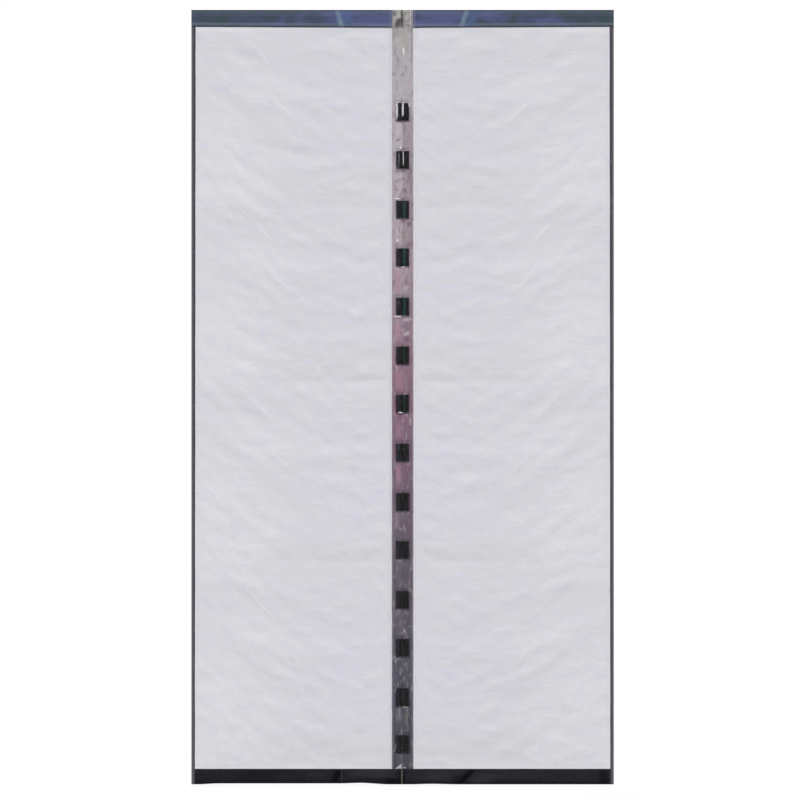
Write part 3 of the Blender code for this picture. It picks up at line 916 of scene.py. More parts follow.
@dataclass(frozen=True)
class MagnetCoatFinish:
    """Glossy black coating with a faint green and violet cast from bar to bar, a sheen on the left
    bars and a teal-green gleam on the right bars, all painted reflections.
    """

    name: str = "magnet_coat_look"

    def make(self, plan: CurtainPlan) -> bpy.types.Material:
        """Returns the material."""
        recipe = PieceRecipe(self.name)
        # Painted reflections: a faint green and violet cast, a sheen on the left bars and a teal-green
        # gleam on the right bars.
        cast = recipe.noise((55.0, 30.0, 7.0), 2.0, 0.4)
        colour = recipe.blend(cast.rise(0.4, 0.6), linear(14, 12, 18), linear(12, 18, 18))
        sheen = recipe.x.band(-0.0125, 0.0004, 0.0022) * (cast * 0.5 + 0.35)
        colour = recipe.blend(sheen, colour, linear(58, 60, 66))
        teal = linear(32, 86, 78)
        moss = linear(28, 54, 38)
        gleam = recipe.blend(recipe.z.rise(-0.88, -0.96), teal, moss)
        gleam_share = recipe.z.band(-0.84, 0.26, 0.20) * recipe.x.band(0.0046, 0.0012, 0.0030)
        colour = recipe.blend(gleam_share * 0.62, colour, gleam)
        outer_edge = abs(recipe.x).rise(0.0145, 0.0175)
        colour = recipe.blend(outer_edge * 0.6, colour, linear(46, 28, 42))
        pits = recipe.noise((500.0, 500.0, 500.0), 2.0)
        return recipe.coat(
            Base_Color=colour,
            Roughness=0.22 + pits * 0.1,
            Specular_IOR_Level=0.08,
            Normal=recipe.bump(pits, 0.0001),
        )


@dataclass(frozen=True)
class ThreadFinish:
    """Twisted black sewing thread."""

    name: str = "thread_look"
    tone: tuple = linear(46, 46, 54)

    def make(self, plan: CurtainPlan) -> bpy.types.Material:
        """Returns the material."""
        recipe = PieceRecipe(self.name)
        twist = (recipe.x + recipe.z).ribs(0.0006)
        colour = recipe.blend(twist * 0.6, self.tone, linear(20, 20, 24))
        return recipe.coat(
            Base_Color=colour, Roughness=0.6, Normal=recipe.bump(twist, 0.0002)
        )


# Bench work


def clear_selection() -> None:
    """Deselects every object."""
    for item in list(bpy.context.selected_objects):
        item.select_set(False)


def take_up(piece: bpy.types.Object) -> None:
    """Selects one object alone and makes it active."""
    clear_selection()
    piece.select_set(True)
    bpy.context.view_layer.objects.active = piece


def apply_modifier(piece: bpy.types.Object, kind: str, settings: dict[str, object]) -> None:
    """Adds a modifier with these settings and applies it."""
    take_up(piece)
    modifier = piece.modifiers.new(kind.title(), kind)
    for name, setting in settings.items():
        setattr(modifier, name, setting)
    bpy.ops.object.modifier_apply(modifier=modifier.name)


def points_of(piece: bpy.types.Object) -> Array:
    """Returns the mesh's points, one row each."""
    flat = np.empty(len(piece.data.vertices) * 3)
    piece.data.vertices.foreach_get("co", flat)
    return flat.reshape(-1, 3)


def move_points(piece: bpy.types.Object, points: Array) -> None:
    """Puts the mesh's points where the rows say."""
    piece.data.vertices.foreach_set("co", points.ravel())
    piece.data.update()


def lay_sheet(
    name: str, columns: int, rows: int, place: Placer, thickness: float
) -> bpy.types.Object:
    """Lays a flat grid into its hung or folded form and gives it a wall.

    Args:
        name: The piece's name.
        columns: Faces across the sheet.
        rows: Faces along the sheet.
        place: Turns shares across and along the sheet into points in space.
        thickness: The wall, in metres.

    Returns:
        The finished piece.
    """
    clear_selection()
    bpy.ops.mesh.primitive_grid_add(x_subdivisions=columns, y_subdivisions=rows, size=1.0)
    piece = bpy.context.active_object
    piece.name = piece.data.name = name
    flat = points_of(piece)
    move_points(piece, place(flat[:, 0] + 0.5, flat[:, 1] + 0.5))
    settings = {"thickness": thickness, "offset": 0.0}
    settings |= {"use_even_offset": True, "use_quality_normals": True}
    apply_modifier(piece, "SOLIDIFY", settings)
    recalculate_outside(piece)
    take_up(piece)
    bpy.ops.object.shade_smooth_by_angle(angle=math.radians(40))
    return piece


def recalculate_outside(piece: bpy.types.Object) -> None:
    """Turns every face of a closed mesh outwards."""
    take_up(piece)
    bpy.ops.object.mode_set(mode="EDIT")
    bpy.ops.mesh.select_all(action="SELECT")
    bpy.ops.mesh.normals_make_consistent(inside=False)
    bpy.ops.object.mode_set(mode="OBJECT")


def dress(piece: bpy.types.Object, *materials: bpy.types.Material) -> None:
    """Gives a piece its materials, the first one on every face."""
    piece.data.materials.clear()
    for material in materials:
        piece.data.materials.append(material)


def hand_over(piece: bpy.types.Object, nodes: tuple[str, ...]) -> None:
    """Fixes a finished piece to the curtain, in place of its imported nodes."""
    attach(piece, "root")
    if nodes:
        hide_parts(*nodes)
    log.info("%s: %d faces", piece.name, len(piece.data.polygons))


# Film panels


@dataclass(frozen=True)
class SoftPatch:
    """A broad light or dark patch in one packing fold's field of film.

    `reach` is its distance from the split and `drop` its distance below the field's top line;
    `tone` is above 0 where the film leans up to the light.
    """

    reach: float
    drop: float
    half_width: float
    half_height: float
    tone: float
    slant: float = 0.0


@dataclass(frozen=True)
class DrapeLine:
    """One of the nested lines that hang in a U across the split: a lit rim over a shaded one."""

    depth: float
    inner: float
    outer: float
    width: float
    tone: float


@dataclass
class FilmPanel:
    """One frosted panel, with the drape lines and packing creases of a curtain just unfolded."""

    plan: CurtainPlan
    side: Side
    material: bpy.types.Material
    columns: int = 104
    rows: int = 392
    slope: float = 0.076
    margin: float = 0.016
    tape_clearance: float = 0.0008
    wrinkle_seed: int = 41
    wrinkle_count: int = 64
    patches: tuple[SoftPatch, ...] = (
        SoftPatch(0.485, 0.055, 0.085, 0.028, -0.7, 0.10),
        SoftPatch(0.440, 0.225, 0.085, 0.018, -0.8, 0.75),
        SoftPatch(0.242, 0.233, 0.090, 0.022, -0.6, 0.10),
        SoftPatch(0.299, 0.318, 0.070, 0.028, -0.6, 0.15),
        SoftPatch(0.057, 0.082, 0.030, 0.025, -0.6),
        SoftPatch(0.171, 0.119, 0.040, 0.015, -0.5),
        SoftPatch(0.240, 0.100, 0.090, 0.030, -0.4, 0.20),
        SoftPatch(0.527, 0.335, 0.045, 0.050, 0.8, 0.20),
        SoftPatch(0.438, 0.134, 0.045, 0.016, 0.8, 0.80),
        SoftPatch(0.342, 0.156, 0.050, 0.016, 0.6, 0.60),
        SoftPatch(0.228, 0.170, 0.060, 0.016, 0.6, 0.25),
        SoftPatch(0.484, 0.450, 0.080, 0.012, 0.8),
        SoftPatch(0.292, 0.440, 0.085, 0.006, -0.9),
        SoftPatch(0.230, 0.460, 0.050, 0.006, -0.8),
        SoftPatch(0.195, 0.489, 0.130, 0.007, -0.9),
        SoftPatch(0.132, 0.5085, 0.080, 0.005, 1.0),
    )
    lines: tuple[DrapeLine, ...] = (
        DrapeLine(0.275, 0.355, 0.470, 0.0055, 1.6),
        DrapeLine(0.372, 0.300, 0.410, 0.0055, 1.6),
        DrapeLine(0.330, 0.100, 0.260, 0.0075, 0.8),
        DrapeLine(0.205, 0.060, 0.330, 0.0080, 0.6),
        DrapeLine(0.150, 0.050, 0.250, 0.0090, 0.5),
    )

    def tones(self, reach: Array, drop: Array) -> Array:
        """How light or dark the light from above leaves each point.

        Args:
            reach: Distances from the split.
            drop: Distances below the curtain's top edge.

        Returns:
            Tones from about -1 to 1.
        """
        tone = np.zeros_like(reach)
        for start in self.plan.film_fields[:-1]:
            inside = drop - start
            for patch in self.patches:
                along = reach - patch.reach
                across = inside - patch.drop + patch.slant * along
                tone += patch.tone * bell(along, patch.half_width) * bell(across, patch.half_height)
            for line in self.lines:
                across = inside - line.depth + self.plan.film_droop * reach**2
                begins = smooth_step((reach - line.inner) / 0.04)
                ends = smooth_step((line.outer - reach) / 0.05)
                lit = bell(across + line.width, line.width)
                shaded = bell(across - line.width, line.width)
                tone += line.tone * (lit - 0.8 * shaded) * (begins * ends)
        return tone

    def wrinkles(self, x: Array, drop: Array) -> Array:
        """Random handling wrinkles that mostly follow the drape lines, as tones."""
        random = np.random.default_rng(self.wrinkle_seed)
        reach = np.abs(x)
        tone = np.zeros_like(reach)
        for _ in range(self.wrinkle_count):
            length = random.uniform(0.014, 0.090)
            lean = random.normal(0.0, 0.55)
            phase = random.uniform(0, FULL_TURN)
            shift = random.uniform(0, FULL_TURN)
            path = drop + 0.55 * self.plan.film_droop * reach**2 + lean * reach
            wave = np.sin(FULL_TURN * path / length + phase)
            patchy = np.sin(reach * random.uniform(6, 22) + drop * random.uniform(3, 14) + shift)
            tone += wave * np.clip(patchy, 0, 1) * 0.16
        return tone

    def relief(self) -> tuple[Array, Array, Array]:
        """The film's distance towards the viewer, on a fine map.

        The tones are slopes of the relief, so they are added up from the top down; what drifts
        is taken away with a wide running mean.

        Returns:
            The map's distances from the split, its drops, and the relief at both.
        """
        reach = np.linspace(0.0, 0.62, 156)
        drop = np.linspace(0.0, 2.24, 1121)
        across, down = np.meshgrid(reach, drop)
        tone = self.tones(across, down) + self.wrinkles(across * self.side.value, down)
        step = drop[1] - drop[0]
        height = np.cumsum(tone, axis=0) * step * self.slope
        window = 151
        padded = np.pad(height, ((window // 2, window // 2), (0, 0)), mode="reflect")
        sums = np.cumsum(np.vstack([np.zeros((1, padded.shape[1])), padded]), axis=0)
        drift = (sums[window:] - sums[:-window]) / window
        return reach, drop, height - drift

    def place(self, across: Array, along: Array) -> Array:
        """Places the sheet's points, from the weld outwards and from the top down."""
        plan = self.plan
        top = plan.top - plan.edge_inset
        bottom = plan.bottom + plan.fold_inset
        outer = plan.half_width - plan.edge_inset
        reach = plan.strip_width + across * (outer - plan.strip_width)
        low = bottom + plan.hem_lift(self.side, reach)
        z = top + along * (low - top)
        map_reach, map_drop, relief = self.relief()
        column = np.interp(reach, map_reach, np.arange(len(map_reach)))
        row = np.interp(plan.top - z, map_drop, np.arange(len(map_drop)))
        left, upper = column.astype(int), row.astype(int)
        left = np.minimum(left, len(map_reach) - 2)
        upper = np.minimum(upper, len(map_drop) - 2)
        part, fall = column - left, row - upper
        height = (
            relief[upper, left] * (1 - part) * (1 - fall)
            + relief[upper, left + 1] * part * (1 - fall)
            + relief[upper + 1, left] * (1 - part) * fall
            + relief[upper + 1, left + 1] * part * fall
        )
        clearance = self.tape_clearance
        edges = np.minimum.reduce(
            [
                reach - plan.lap_edge - clearance,
                plan.half_width - plan.binding_width(z) - clearance - reach,
                plan.top - plan.header_height(reach) - clearance - z,
                z - plan.hem_top - clearance,
            ]
        )
        y = plan.film_depth - height * smooth_step(edges / self.margin)
        return np.column_stack([self.side.value * reach, y, z])

    def build(self) -> bpy.types.Object:
        """Builds the panel and returns it."""
        name = f"{self.side.word}_film"
        plan = self.plan
        piece = lay_sheet(name, self.columns, self.rows, self.place, plan.film_thickness)
        dress(piece, self.material)
        hand_over(piece, (f"{self.side.word}_film_panel",))
        width = plan.half_width - plan.edge_inset - plan.strip_width
        return piece


# Clear sleeves and their magnets


@dataclass
class MagnetSleeve:
    """A strip of clear film folded at the split, with a pocket pressed round every magnet."""

    plan: CurtainPlan
    side: Side
    clear: bpy.types.Material
    tinted: bpy.types.Material
    wall: float = 0.0003
    split_edge: float = 0.000014
    flat_half: float = 0.00065
    pocket_half: float = 0.0032
    header_half: float = 0.00150
    pocket_reach: float = 0.0253
    pocket_ramp: float = 0.012
    pocket_foot: float = 0.006
    magnet_width: float = 0.0175
    fold_share: float = 0.22
    columns: int = 36
    rows: int = 860

    def fullness(self, z: Array) -> Array:
        """How far the pockets are open at each height, from 0 to 1."""
        full = np.zeros_like(z)
        for number in range(self.plan.magnets_per_side):
            away = np.abs(z - self.plan.magnet_height(number)) - self.pocket_reach
            full = np.maximum(full, smooth_step(1 - away / self.pocket_ramp))
        return full

    def crinkle(self, x: Array, z: Array) -> Array:
        """Outward crinkles of the front wall, strongest at its two loose ends."""
        plan = self.plan
        random = np.random.default_rng(7 if self.side is Side.LEFT else 8)
        top_end = smooth_step((z - plan.loop_bottom + 0.006) / 0.012)
        low_end = smooth_step((plan.hem_top + 0.020 - z) / 0.010)
        low_end = low_end * smooth_step((z - plan.hem_top) / 0.006)
        rise = np.zeros_like(z)
        for _ in range(14):
            length = random.uniform(0.006, 0.020)
            lean = random.normal(0.0, 0.9)
            wave = np.sin(FULL_TURN * (z + lean * x) / length + random.uniform(0, 6.28))
            rise += np.abs(wave) * random.uniform(0.4, 1.0)
        rise = rise / rise.max()
        soft = 0.5 + 0.5 * np.sin(z * 37.0 + x * 210.0) * np.sin(z * 11.0 + 1.3)
        return rise * (0.0011 * top_end + 0.0016 * low_end) + soft * 0.00022

    def place(self, across: Array, along: Array) -> Array:
        """Places the strip's points, from its front mouth round the split to its back mouth."""
        plan = self.plan
        top = plan.top - plan.edge_inset
        low = plan.bottom + plan.fold_inset
        z = top + along * (low - top)
        turn = across * 2 - 1
        behind = np.sign(turn)
        share = np.abs(turn)
        full = self.fullness(z)
        header = smooth_step((z - plan.loop_bottom) / 0.010 + 1)
        half_in = self.flat_half + (self.pocket_half - self.flat_half) * full
        half_in = half_in + (self.header_half - self.flat_half) * header
        radius = 0.0006 + 0.0016 * np.maximum(full, header * 0.4)
        start = self.split_edge + self.wall / 2
        angle = np.clip(share / self.fold_share, 0, 1) * math.pi / 2
        run = np.clip((share - self.fold_share) / (1 - self.fold_share), 0, 1)
        reach = start + radius * (1 - np.cos(angle)) + (plan.lap_edge - start - radius) * run
        shoulder = start + self.wall / 2 + 0.0006 + self.magnet_width
        closing = smooth_step(1 - (reach - shoulder) / self.pocket_foot)
        half = self.flat_half + (half_in - self.flat_half) * closing
        half = half * np.sin(angle)
        lifted = self.crinkle(self.side.value * reach, z)
        inner_part = smooth_step((plan.strip_width - reach) / 0.004)
        y = plan.film_depth + behind * half
        y = y - (behind < 0) * lifted * inner_part * np.sin(angle)
        z = z + plan.hem_lift(self.side, reach) * smooth_step((plan.hem_top - z) / 0.04)
        return np.column_stack([self.side.value * reach, y, z])

    def build(self) -> bpy.types.Object:
        """Builds the sleeve and returns it."""
        plan = self.plan
        word = self.side.word
        piece = lay_sheet(f"{word}_clear_sleeve", self.columns, self.rows, self.place, self.wall)
        dress(piece, self.clear, self.tinted)
        for face in piece.data.polygons:
            in_strip = abs(face.center.x) < plan.strip_width + 0.0004
            if in_strip and face.center.y > plan.film_depth + 0.0002:
                face.material_index = 1
        hand_over(piece, (f"{word}_magnet_sleeve",))
        return piece


@dataclass
class MagnetRow:
    """The magnet bars of one half, one bar modelled and the rest copied from it."""

    plan: CurtainPlan
    side: Side
    material: bpy.types.Material
    long_round: float = 0.0011
    end_round: float = 0.0009

    def shape_bar(self, name: str, low: Vector, high: Vector) -> bpy.types.Object:
        """Shapes the first bar between two corners.

        Args:
            name: The piece's name.
            low: The lowest corner.
            high: The highest corner.

        Returns:
            The bar.
        """
        clear_selection()
        bpy.ops.mesh.primitive_cube_add(size=1.0)
        piece = bpy.context.active_object
        piece.name = piece.data.name = name
        size = high - low
        middle = (low + high) / 2
        bpy.ops.object.mode_set(mode="EDIT")
        bpy.ops.mesh.select_all(action="SELECT")
        bpy.ops.transform.resize(value=tuple(size))
        bpy.ops.transform.translate(value=tuple(middle))
        bpy.ops.object.mode_set(mode="OBJECT")
        self.round_edges(piece, self.long_round, 4, lambda a, b: abs(a.z - b.z) > size.z / 2)
        self.round_edges(piece, self.end_round, 3, lambda a, b: abs(a.z - b.z) < 1e-5)
        take_up(piece)
        bpy.ops.object.shade_smooth_by_angle(angle=math.radians(50))
        return piece

    @staticmethod
    def round_edges(
        piece: bpy.types.Object, radius: float, steps: int, wanted: Callable[[Vector, Vector], bool]
    ) -> None:
        """Bevels the edges whose two ends the test wants."""
        take_up(piece)
        bpy.ops.object.mode_set(mode="EDIT")
        bpy.ops.mesh.select_all(action="DESELECT")
        bpy.ops.mesh.select_mode(type="EDGE")
        bpy.ops.object.mode_set(mode="OBJECT")
        points = [vertex.co for vertex in piece.data.vertices]
        for edge in piece.data.edges:
            first, second = (points[index] for index in edge.vertices)
            edge.select = wanted(first, second)
        bpy.ops.object.mode_set(mode="EDIT")
        bpy.ops.mesh.bevel(offset=radius, segments=steps, affect="EDGES")
        bpy.ops.object.mode_set(mode="OBJECT")

    def build(self) -> list[bpy.types.Object]:
        """Builds all the bars and returns them."""
        bars: list[bpy.types.Object] = []
        word = self.side.word
        first_low, first_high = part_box(f"{word}_magnet_01")
        first = self.shape_bar(f"{word}_bar_01", first_low, first_high)
        for number in range(self.plan.magnets_per_side):
            node = f"{word}_magnet_{number + 1:02d}"
            if number == 0:
                bar = first
            else:
                bar = first.copy()
                bar.data = first.data.copy()
                bar.name = bar.data.name = f"{word}_bar_{number + 1:02d}"
                bpy.context.scene.collection.objects.link(bar)
                low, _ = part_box(node)
                bar.data.transform(Matrix.Translation(low - first_low))
            dress(bar, self.material)
            hand_over(bar, (node,))
            bars.append(bar)
        return bars


# Tapes folded over the edges


@dataclass
class FoldedTape:
    """A tape folded over an edge of the film and stitched down beside its mouth."""

    plan: CurtainPlan
    side: Side
    material: bpy.types.Material
    wall: float = 0.0006
    film_half: float = 0.0005
    sleeve_half: float = 0.0011
    stitch_inset: float = 0.004
    columns: int = 26
    rows: int = 240

    def section(self, share: Array, reach: float, mouth_half: Array) -> tuple[Array, Array]:
        """The tape's middle line round its fold.

        Args:
            share: 0 at the front mouth, 0.5 at the fold and 1 at the back mouth.
            reach: Distance from the fold's outside to the mouth.
            mouth_half: Half gap between the two layers at the mouth.

        Returns:
            Distances from the fold's outside and from the film's middle plane.
        """
        turn = share * 2 - 1
        leg = np.abs(turn)
        half_fold = self.sleeve_half + self.wall / 2
        fold_share = 0.2
        angle = np.clip(leg / fold_share, 0, 1) * math.pi / 2
        run = np.clip((leg - fold_share) / (1 - fold_share), 0, 1)
        radius = 2 * self.wall
        inward = self.wall / 2 + radius * (1 - np.cos(angle))
        inward = inward + (reach - self.wall / 2 - radius) * run
        stitch = reach - self.stitch_inset
        pressed = smooth_step((inward - stitch + 0.004) / 0.004)
        half = half_fold + (mouth_half + self.wall / 2 - half_fold) * pressed
        return inward, np.sign(turn) * half * np.sin(angle)

    def mouth_half_at(self, reach: Array) -> Array:
        """The tape closes on the sleeve's lap near the split and on the bare film beyond it."""
        beyond = smooth_step((reach - self.plan.lap_edge - 0.0003) / 0.018)
        return self.sleeve_half + (self.film_half - self.sleeve_half) * beyond

    def finish_tape(
        self, name: str, place: Placer, slot: str, node: str, flat: tuple[float, float]
    ) -> bpy.types.Object:
        """Lays, dresses and hands over the tape."""
        piece = lay_sheet(name, self.columns, self.rows, place, self.wall)
        dress(piece, self.material)
        hand_over(piece, (node,))
        return piece


@dataclass
class HeaderBand(FoldedTape):
    """The dark tape along the top edge, which stops at the clear strip."""

    fold_reach: float = 0.1853
    columns: int = 52
    rows: int = 290

    def place(self, across: Array, along: Array) -> Array:
        """Places the tape's points, from the split outwards along the curtain."""
        plan = self.plan
        reach = plan.header_inner_end + along * (plan.half_width - plan.header_inner_end)
        height = plan.header_height(reach)
        inward, depth = self.section(across, height, self.mouth_half_at(reach))
        z = plan.top - inward
        front = np.clip(-np.sign(depth), 0, 1)
        pucker = np.sin(reach * FULL_TURN / 0.021 + np.sin(reach * 31.0) * 1.6)
        near_stitch = bell(inward - height + self.stitch_inset + 0.004, 0.006)
        fold_ridge = bell(reach - (self.fold_reach - inward * 0.33), 0.0028)
        pressed = bell(inward - 0.016, 0.0009)
        rise = 0.00016 * pucker * near_stitch + 0.0004 * fold_ridge - 0.00018 * pressed
        soft = np.sin(reach * 43.0 + inward * 60.0) * np.sin(reach * 17.0 - inward * 35.0 + 1.0)
        clear_of_fold = smooth_step(inward / 0.010) * smooth_step((height - inward) / 0.003)
        depth = depth - front * (rise + 0.0003 * soft) * clear_of_fold
        return np.column_stack([self.side.value * reach, plan.film_depth + depth, z])

    def build(self) -> bpy.types.Object:
        """Builds the band and returns it."""
        word = self.side.word
        run = self.plan.half_width - self.plan.header_inner_end
        flat = (2 * self.plan.header_split_height, run)
        return self.finish_tape(
            f"{word}_header_tape", self.place, "header_fabric", f"{word}_header_band", flat
        )


@dataclass
class BottomHem(FoldedTape):
    """The black satin tape along the bottom edge, a little higher beside the split."""

    crease_reach: float = 0.174
    columns: int = 48
    rows: int = 280

    def place(self, across: Array, along: Array) -> Array:
        """Places the tape's points, from the split outwards along the curtain."""
        plan = self.plan
        reach = plan.split_edge + along * (plan.hem_side - plan.split_edge)
        lift = plan.hem_lift(self.side, reach)
        height = plan.hem_height - lift
        inward, depth = self.section(across, height, self.mouth_half_at(reach))
        z = plan.bottom + lift + inward
        front = np.clip(-np.sign(depth), 0, 1)
        lean = 0.0 if self.side is Side.LEFT else 0.45
        middle = self.crease_reach if self.side is Side.LEFT else self.crease_reach + 0.012
        crease = bell(reach - middle - lean * (inward - plan.hem_height / 2), 0.0035)
        waves = np.sin(reach * 39.0 + np.sin(inward * 70.0)) * np.sin(reach * 13.0 + 0.6)
        ripple = np.sin(inward * FULL_TURN / 0.017 + 2.2 * np.sin(reach * 24.0))
        rise = 0.0006 * crease + 0.0004 * waves + 0.00022 * ripple
        clear_of_fold = smooth_step(inward / 0.008) * smooth_step((height - inward) / 0.006)
        depth = depth - front * rise * clear_of_fold
        return np.column_stack([self.side.value * reach, plan.film_depth + depth, z])

    def build(self) -> bpy.types.Object:
        """Builds the hem and returns it."""
        word = self.side.word
        flat = (2 * self.plan.hem_height, self.plan.hem_side)
        return self.finish_tape(
            f"{word}_hem_tape", self.place, "hem_satin", f"{word}_bottom_hem", flat
        )


@dataclass
class SideBinding(FoldedTape):
    """The narrow tape along the outer edge, from the header down over the hem's end."""

    columns: int = 22
    rows: int = 500

    def place(self, across: Array, along: Array) -> Array:
        """Places the tape's points, from the header down."""
        plan = self.plan
        start = plan.top - plan.header_height(plan.half_width - plan.binding_top_width) - plan.tape_gap
        z = start + along * (plan.bottom - start)
        turn = across * 2 - 1
        leg = np.abs(turn)
        angle = np.clip(leg / 0.25, 0, 1) * math.pi / 2
        run = np.clip((leg - 0.25) / 0.75, 0, 1)
        radius = 0.0011
        inset = self.wall / 2 + radius * (1 - np.cos(angle))
        inset = inset + (plan.binding_width(z) - self.wall / 2 - radius) * run
        half = (self.film_half + self.wall / 2) * np.sin(angle)
        pucker = np.sin(z * FULL_TURN / 0.019 + np.sin(z * 27.0) * 2.0)
        half = half + 0.00012 * pucker * bell(inset - 0.0060, 0.0018) * run
        wander = 0.0003 * np.sin(z * 9.0) * np.sin(z * 23.0 + 1.0) * run
        reach = plan.half_width - inset + wander
        return np.column_stack([self.side.value * reach, plan.film_depth + np.sign(turn) * half, z])

    def build(self) -> bpy.types.Object:
        """Builds the binding and returns it."""
        word = self.side.word
        flat = (2 * self.plan.binding_top_width, self.plan.loop_bottom - self.plan.bottom)
        return self.finish_tape(
            f"{word}_binding", self.place, "binding_tape", f"{word}_side_binding", flat
        )


@dataclass
class LoopTape:
    """The one tape of tiny loops behind both headers, which presses on the door frame."""

    plan: CurtainPlan
    material: bpy.types.Material
    thickness: float = 0.0015

    def place(self, across: Array, along: Array) -> Array:
        """Places the tape's points over its width and from the top down."""
        plan = self.plan
        x = (across * 2 - 1) * plan.half_width
        z = plan.top - along * (plan.top - plan.loop_bottom)
        return np.column_stack([x, np.full_like(x, -self.thickness / 2), z])

    def build(self) -> bpy.types.Object:
        """Builds the tape and returns it."""
        plan = self.plan
        piece = lay_sheet("loop_tape_pile", 300, 14, self.place, self.thickness)
        dress(piece, self.material)
        hand_over(piece, ("loop_tape",))
        flat = (plan.top - plan.loop_bottom, 2 * plan.half_width)
        return piece


@dataclass
class Seam:
    """A row of machine stitches, one stitch modelled and the rest made by an array."""

    name: str
    slot: str
    material: bpy.types.Material
    start: Vector
    along: Vector
    length: float
    pitch: float = 0.0036
    stitch: float = 0.0027
    radius: float = 0.00022
    lift: Callable[[Array], Array] | None = None

    def build(self) -> bpy.types.Object:
        """Builds the seam and returns it."""
        clear_selection()
        bpy.ops.mesh.primitive_uv_sphere_add(segments=6, ring_count=4, radius=0.5)
        piece = bpy.context.active_object
        piece.name = piece.data.name = self.name
        upright = abs(self.along.z) > 0.5
        long, thin = self.stitch, self.radius * 2
        bpy.ops.object.mode_set(mode="EDIT")
        bpy.ops.mesh.select_all(action="SELECT")
        bpy.ops.transform.resize(value=(thin, thin, long) if upright else (long, thin, thin))
        bpy.ops.transform.translate(value=tuple(self.start + self.along * self.pitch / 2))
        bpy.ops.object.mode_set(mode="OBJECT")
        settings = {
            "use_relative_offset": False,
            "use_constant_offset": True,
            "constant_offset_displace": self.along * self.pitch,
            "count": int(self.length / self.pitch),
        }
        apply_modifier(piece, "ARRAY", settings)
        if self.lift is not None:
            points = points_of(piece)
            points[:, 2] += self.lift(np.abs(points[:, 0]))
            move_points(piece, points)
        take_up(piece)
        bpy.ops.object.shade_smooth_by_angle(angle=math.radians(60))
        dress(piece, self.material)
        hand_over(piece, ())
        return piece


# The whole curtain and its studio


@dataclass
class Curtain:
    """Both halves of the curtain and what joins them.

    Each seam is given by its distance from the edge of its tape and by its length.
    """

    plan: CurtainPlan
    seam_rise: float = 0.00112
    upper_seam_rise: float = 0.00172
    seam_start: float = 0.022
    header_seam: tuple[float, float] = (0.0045, 0.536)
    upper_seam: tuple[float, float] = (0.016, 0.564)
    hem_seam: tuple[float, float] = (0.0030, 0.526)
    binding_seam: tuple[float, float] = (0.0072, 2.146)

    def build(self) -> None:
        """Builds every piece in the order in which a maker would."""
        plan = self.plan
        film = FrostedFilmFinish().make(plan)
        clear = ClearFilmFinish().make(plan)
        tinted = TintedFilmFinish().make(plan)
        header = HeaderClothFinish().make(plan)
        binding = BindingFinish().make(plan)
        satin = HemSatinFinish().make(plan)
        coat = MagnetCoatFinish().make(plan)
        thread = ThreadFinish().make(plan)
        LoopTape(plan, LoopPileFinish().make(plan)).build()
        for side in Side:
            FilmPanel(plan, side, film).build()
            MagnetSleeve(plan, side, clear, tinted).build()
            MagnetRow(plan, side, coat).build()
            HeaderBand(plan, side, header).build()
            SideBinding(plan, side, binding).build()
            BottomHem(plan, side, satin).build()
            self.sew(side, thread)

    def sew(self, side: Side, thread: bpy.types.Material) -> None:
        """Sews the tapes of one half, on both faces."""
        plan = self.plan
        word, way = side.word, side.value
        inner = plan.lap_edge + self.seam_start
        run = Vector((way, 0.0, 0.0))
        down = Vector((0.0, 0.0, -1.0))
        for face, toward in (("front", -1), ("back", 1)):
            deep = plan.film_depth + toward * self.seam_rise
            if toward < 0:
                inset, length = self.header_seam
                row = Vector((way * inner, deep, plan.top - plan.header_height(inner) + inset))
                low = Seam(f"{word}_header_seam_{face}", "header_fabric", thread, row, run, length)
                low.lift = lambda reach: plan.header_height(inner) - plan.header_height(reach)
                low.build()
                inset, length = self.upper_seam
                deeper = plan.film_depth + toward * self.upper_seam_rise
                row = Vector((way * (plan.header_inner_end + 0.004), deeper, plan.top - inset))
                Seam(f"{word}_header_upper_seam", "header_fabric", thread, row, run, length).build()
            inset, length = self.hem_seam
            row = Vector((way * inner, deep, plan.hem_top - inset))
            Seam(f"{word}_hem_seam_{face}", "hem_satin", thread, row, run, length).build()
            inset, length = self.binding_seam
            row = Vector((way * (plan.half_width - inset), deep, plan.loop_bottom - 0.002))
            Seam(f"{word}_binding_seam_{face}", "binding_tape", thread, row, down, length).build()


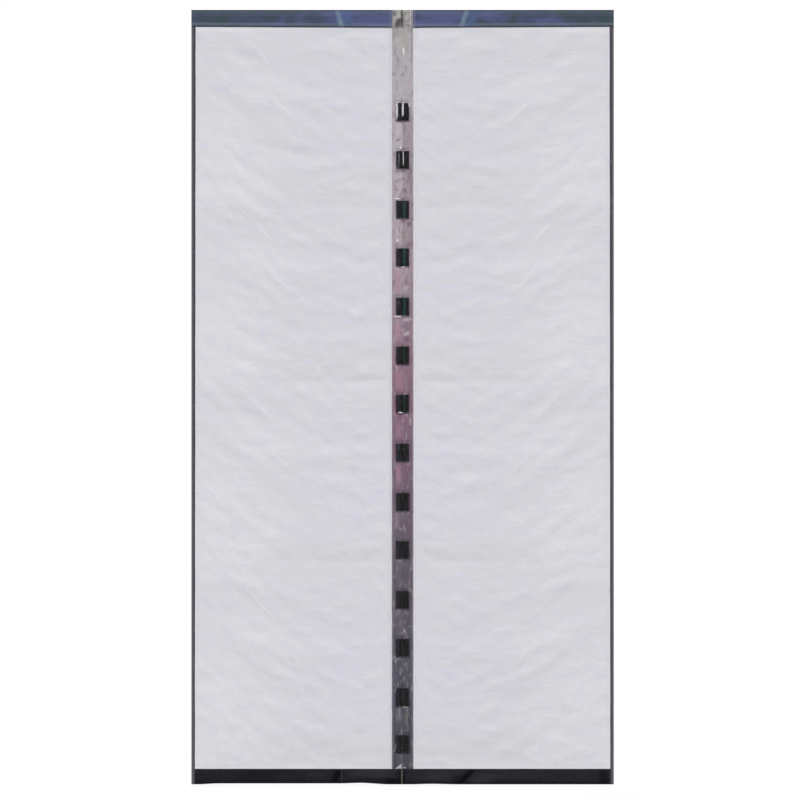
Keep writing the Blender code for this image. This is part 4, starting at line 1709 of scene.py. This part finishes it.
@dataclass
class Studio:
    """A plain pale floor, soft light and the camera at the photograph's viewing angle."""

    plan: CurtainPlan
    distance: float = 10.0
    aim_x: float = -0.0074
    aim_z: float = -1.0832
    frame_width: float = 2.2736
    floor_gap: float = 0.006
    sensor: float = 36.0

    def place_camera(self) -> None:
        """Sets up the camera, square on to the curtain."""
        data = bpy.data.cameras.new("photo_camera")
        data.sensor_width = self.sensor
        data.lens = self.sensor * self.distance / self.frame_width
        data.clip_end = 100.0
        camera = bpy.data.objects.new("photo_camera", data)
        camera.location = (self.aim_x, -self.distance, self.aim_z)
        camera.rotation_euler = (math.pi / 2, 0.0, 0.0)
        bpy.context.scene.collection.objects.link(camera)
        bpy.context.scene.camera = camera

    def lay_floor(self) -> None:
        """Lays the floor, white to the camera but for the curtain's own faint shadow."""
        clear_selection()
        level = self.plan.bottom - self.floor_gap
        bpy.ops.mesh.primitive_plane_add(size=60.0, location=(0.0, 0.0, level))
        floor = bpy.context.active_object
        floor.name = "studio_floor"
        recipe = PieceRecipe("studio_floor_look")
        white = recipe.add("ShaderNodeEmission", {}, {"Color": WHITE, "Strength": 1.0})
        bounce = recipe.add("ShaderNodeLightPath", {}, {}, "Is Diffuse Ray")
        shade = recipe.blend(bounce, (0.90, 0.90, 0.90, 1.0), (0.45, 0.45, 0.45, 1.0))
        matte = recipe.add("ShaderNodeBsdfDiffuse", {}, {"Color": shade})
        inputs = {0: recipe.seen() * 0.86, 1: matte, 2: white}
        dress(floor, recipe.finish(recipe.add("ShaderNodeMixShader", {}, inputs)))

    def light(self) -> None:
        """Hangs the lamps and sets the world."""
        self.add_sun("high_front_sun", strength=2.62, height=50.0, turn=0.0, spread=16.0)
        self.add_sun("soft_rear_sun", strength=1.5, height=34.0, turn=205.0, spread=30.0)
        for name, x in (("left_strip_lamp", -2.3), ("right_strip_lamp", 2.3)):
            self.add_panel(name, (x, -1.6, -1.3), width=0.22, height=2.0, power=3.0)
        world = bpy.data.worlds.new("studio_world")
        bpy.context.scene.world = world
        recipe = Recipe(world)
        ambient = recipe.add("ShaderNodeBackground", {}, {"Color": WHITE, "Strength": 0.34})
        white = recipe.add("ShaderNodeBackground", {}, {"Color": WHITE, "Strength": 1.0})
        inputs = {0: recipe.seen(), 1: ambient, 2: white}
        mixed = recipe.add("ShaderNodeMixShader", {}, inputs)
        recipe.add_output("ShaderNodeOutputWorld", mixed)

    @staticmethod
    def hang(data: bpy.types.Light, place: tuple, toward: Vector, axis: str) -> None:
        """Hangs a lamp with one of its axes along a direction."""
        lamp = bpy.data.objects.new(data.name, data)
        lamp.location = place
        lamp.rotation_mode = "QUATERNION"
        lamp.rotation_quaternion = toward.to_track_quat(axis, "Y")
        bpy.context.scene.collection.objects.link(lamp)

    def add_sun(
        self, name: str, strength: float, height: float, turn: float, spread: float
    ) -> None:
        """Adds a wide, soft sun.

        Args:
            name: The lamp's name.
            strength: Its light on a surface that faces it.
            height: Degrees above the horizon.
            turn: Degrees round from the front, towards the viewer's right.
            spread: How wide it looks, in degrees.
        """
        data = bpy.data.lights.new(name, "SUN")
        data.energy = strength
        data.angle = math.radians(spread)
        rise, swing = math.radians(height), math.radians(turn)
        flat = math.cos(rise)
        toward = Vector((math.sin(swing) * flat, -math.cos(swing) * flat, math.sin(rise)))
        self.hang(data, (0.0, 0.0, 0.0), toward, "Z")

    def add_panel(
        self, name: str, place: tuple, width: float, height: float, power: float
    ) -> None:
        """Adds a tall lamp that faces the clear strip."""
        data = bpy.data.lights.new(name, "AREA")
        data.shape = "RECTANGLE"
        data.size, data.size_y = width, height
        data.energy = power
        self.hang(data, place, Vector((0.0, 0.0, place[2])) - Vector(place), "-Z")

    def build(self) -> None:
        """Sets up the whole studio."""
        self.place_camera()
        self.lay_floor()
        self.light()
        bpy.context.scene.view_settings.view_transform = "Standard"


def main() -> None:
    """Builds the studio and the curtain."""
    logging.basicConfig(level=logging.INFO, format="%(name)s %(message)s")
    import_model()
    plan = CurtainPlan()
    Studio(plan).build()
    Curtain(plan).build()
    bpy.context.view_layer.update()


if __name__ == "__main__":
    main()
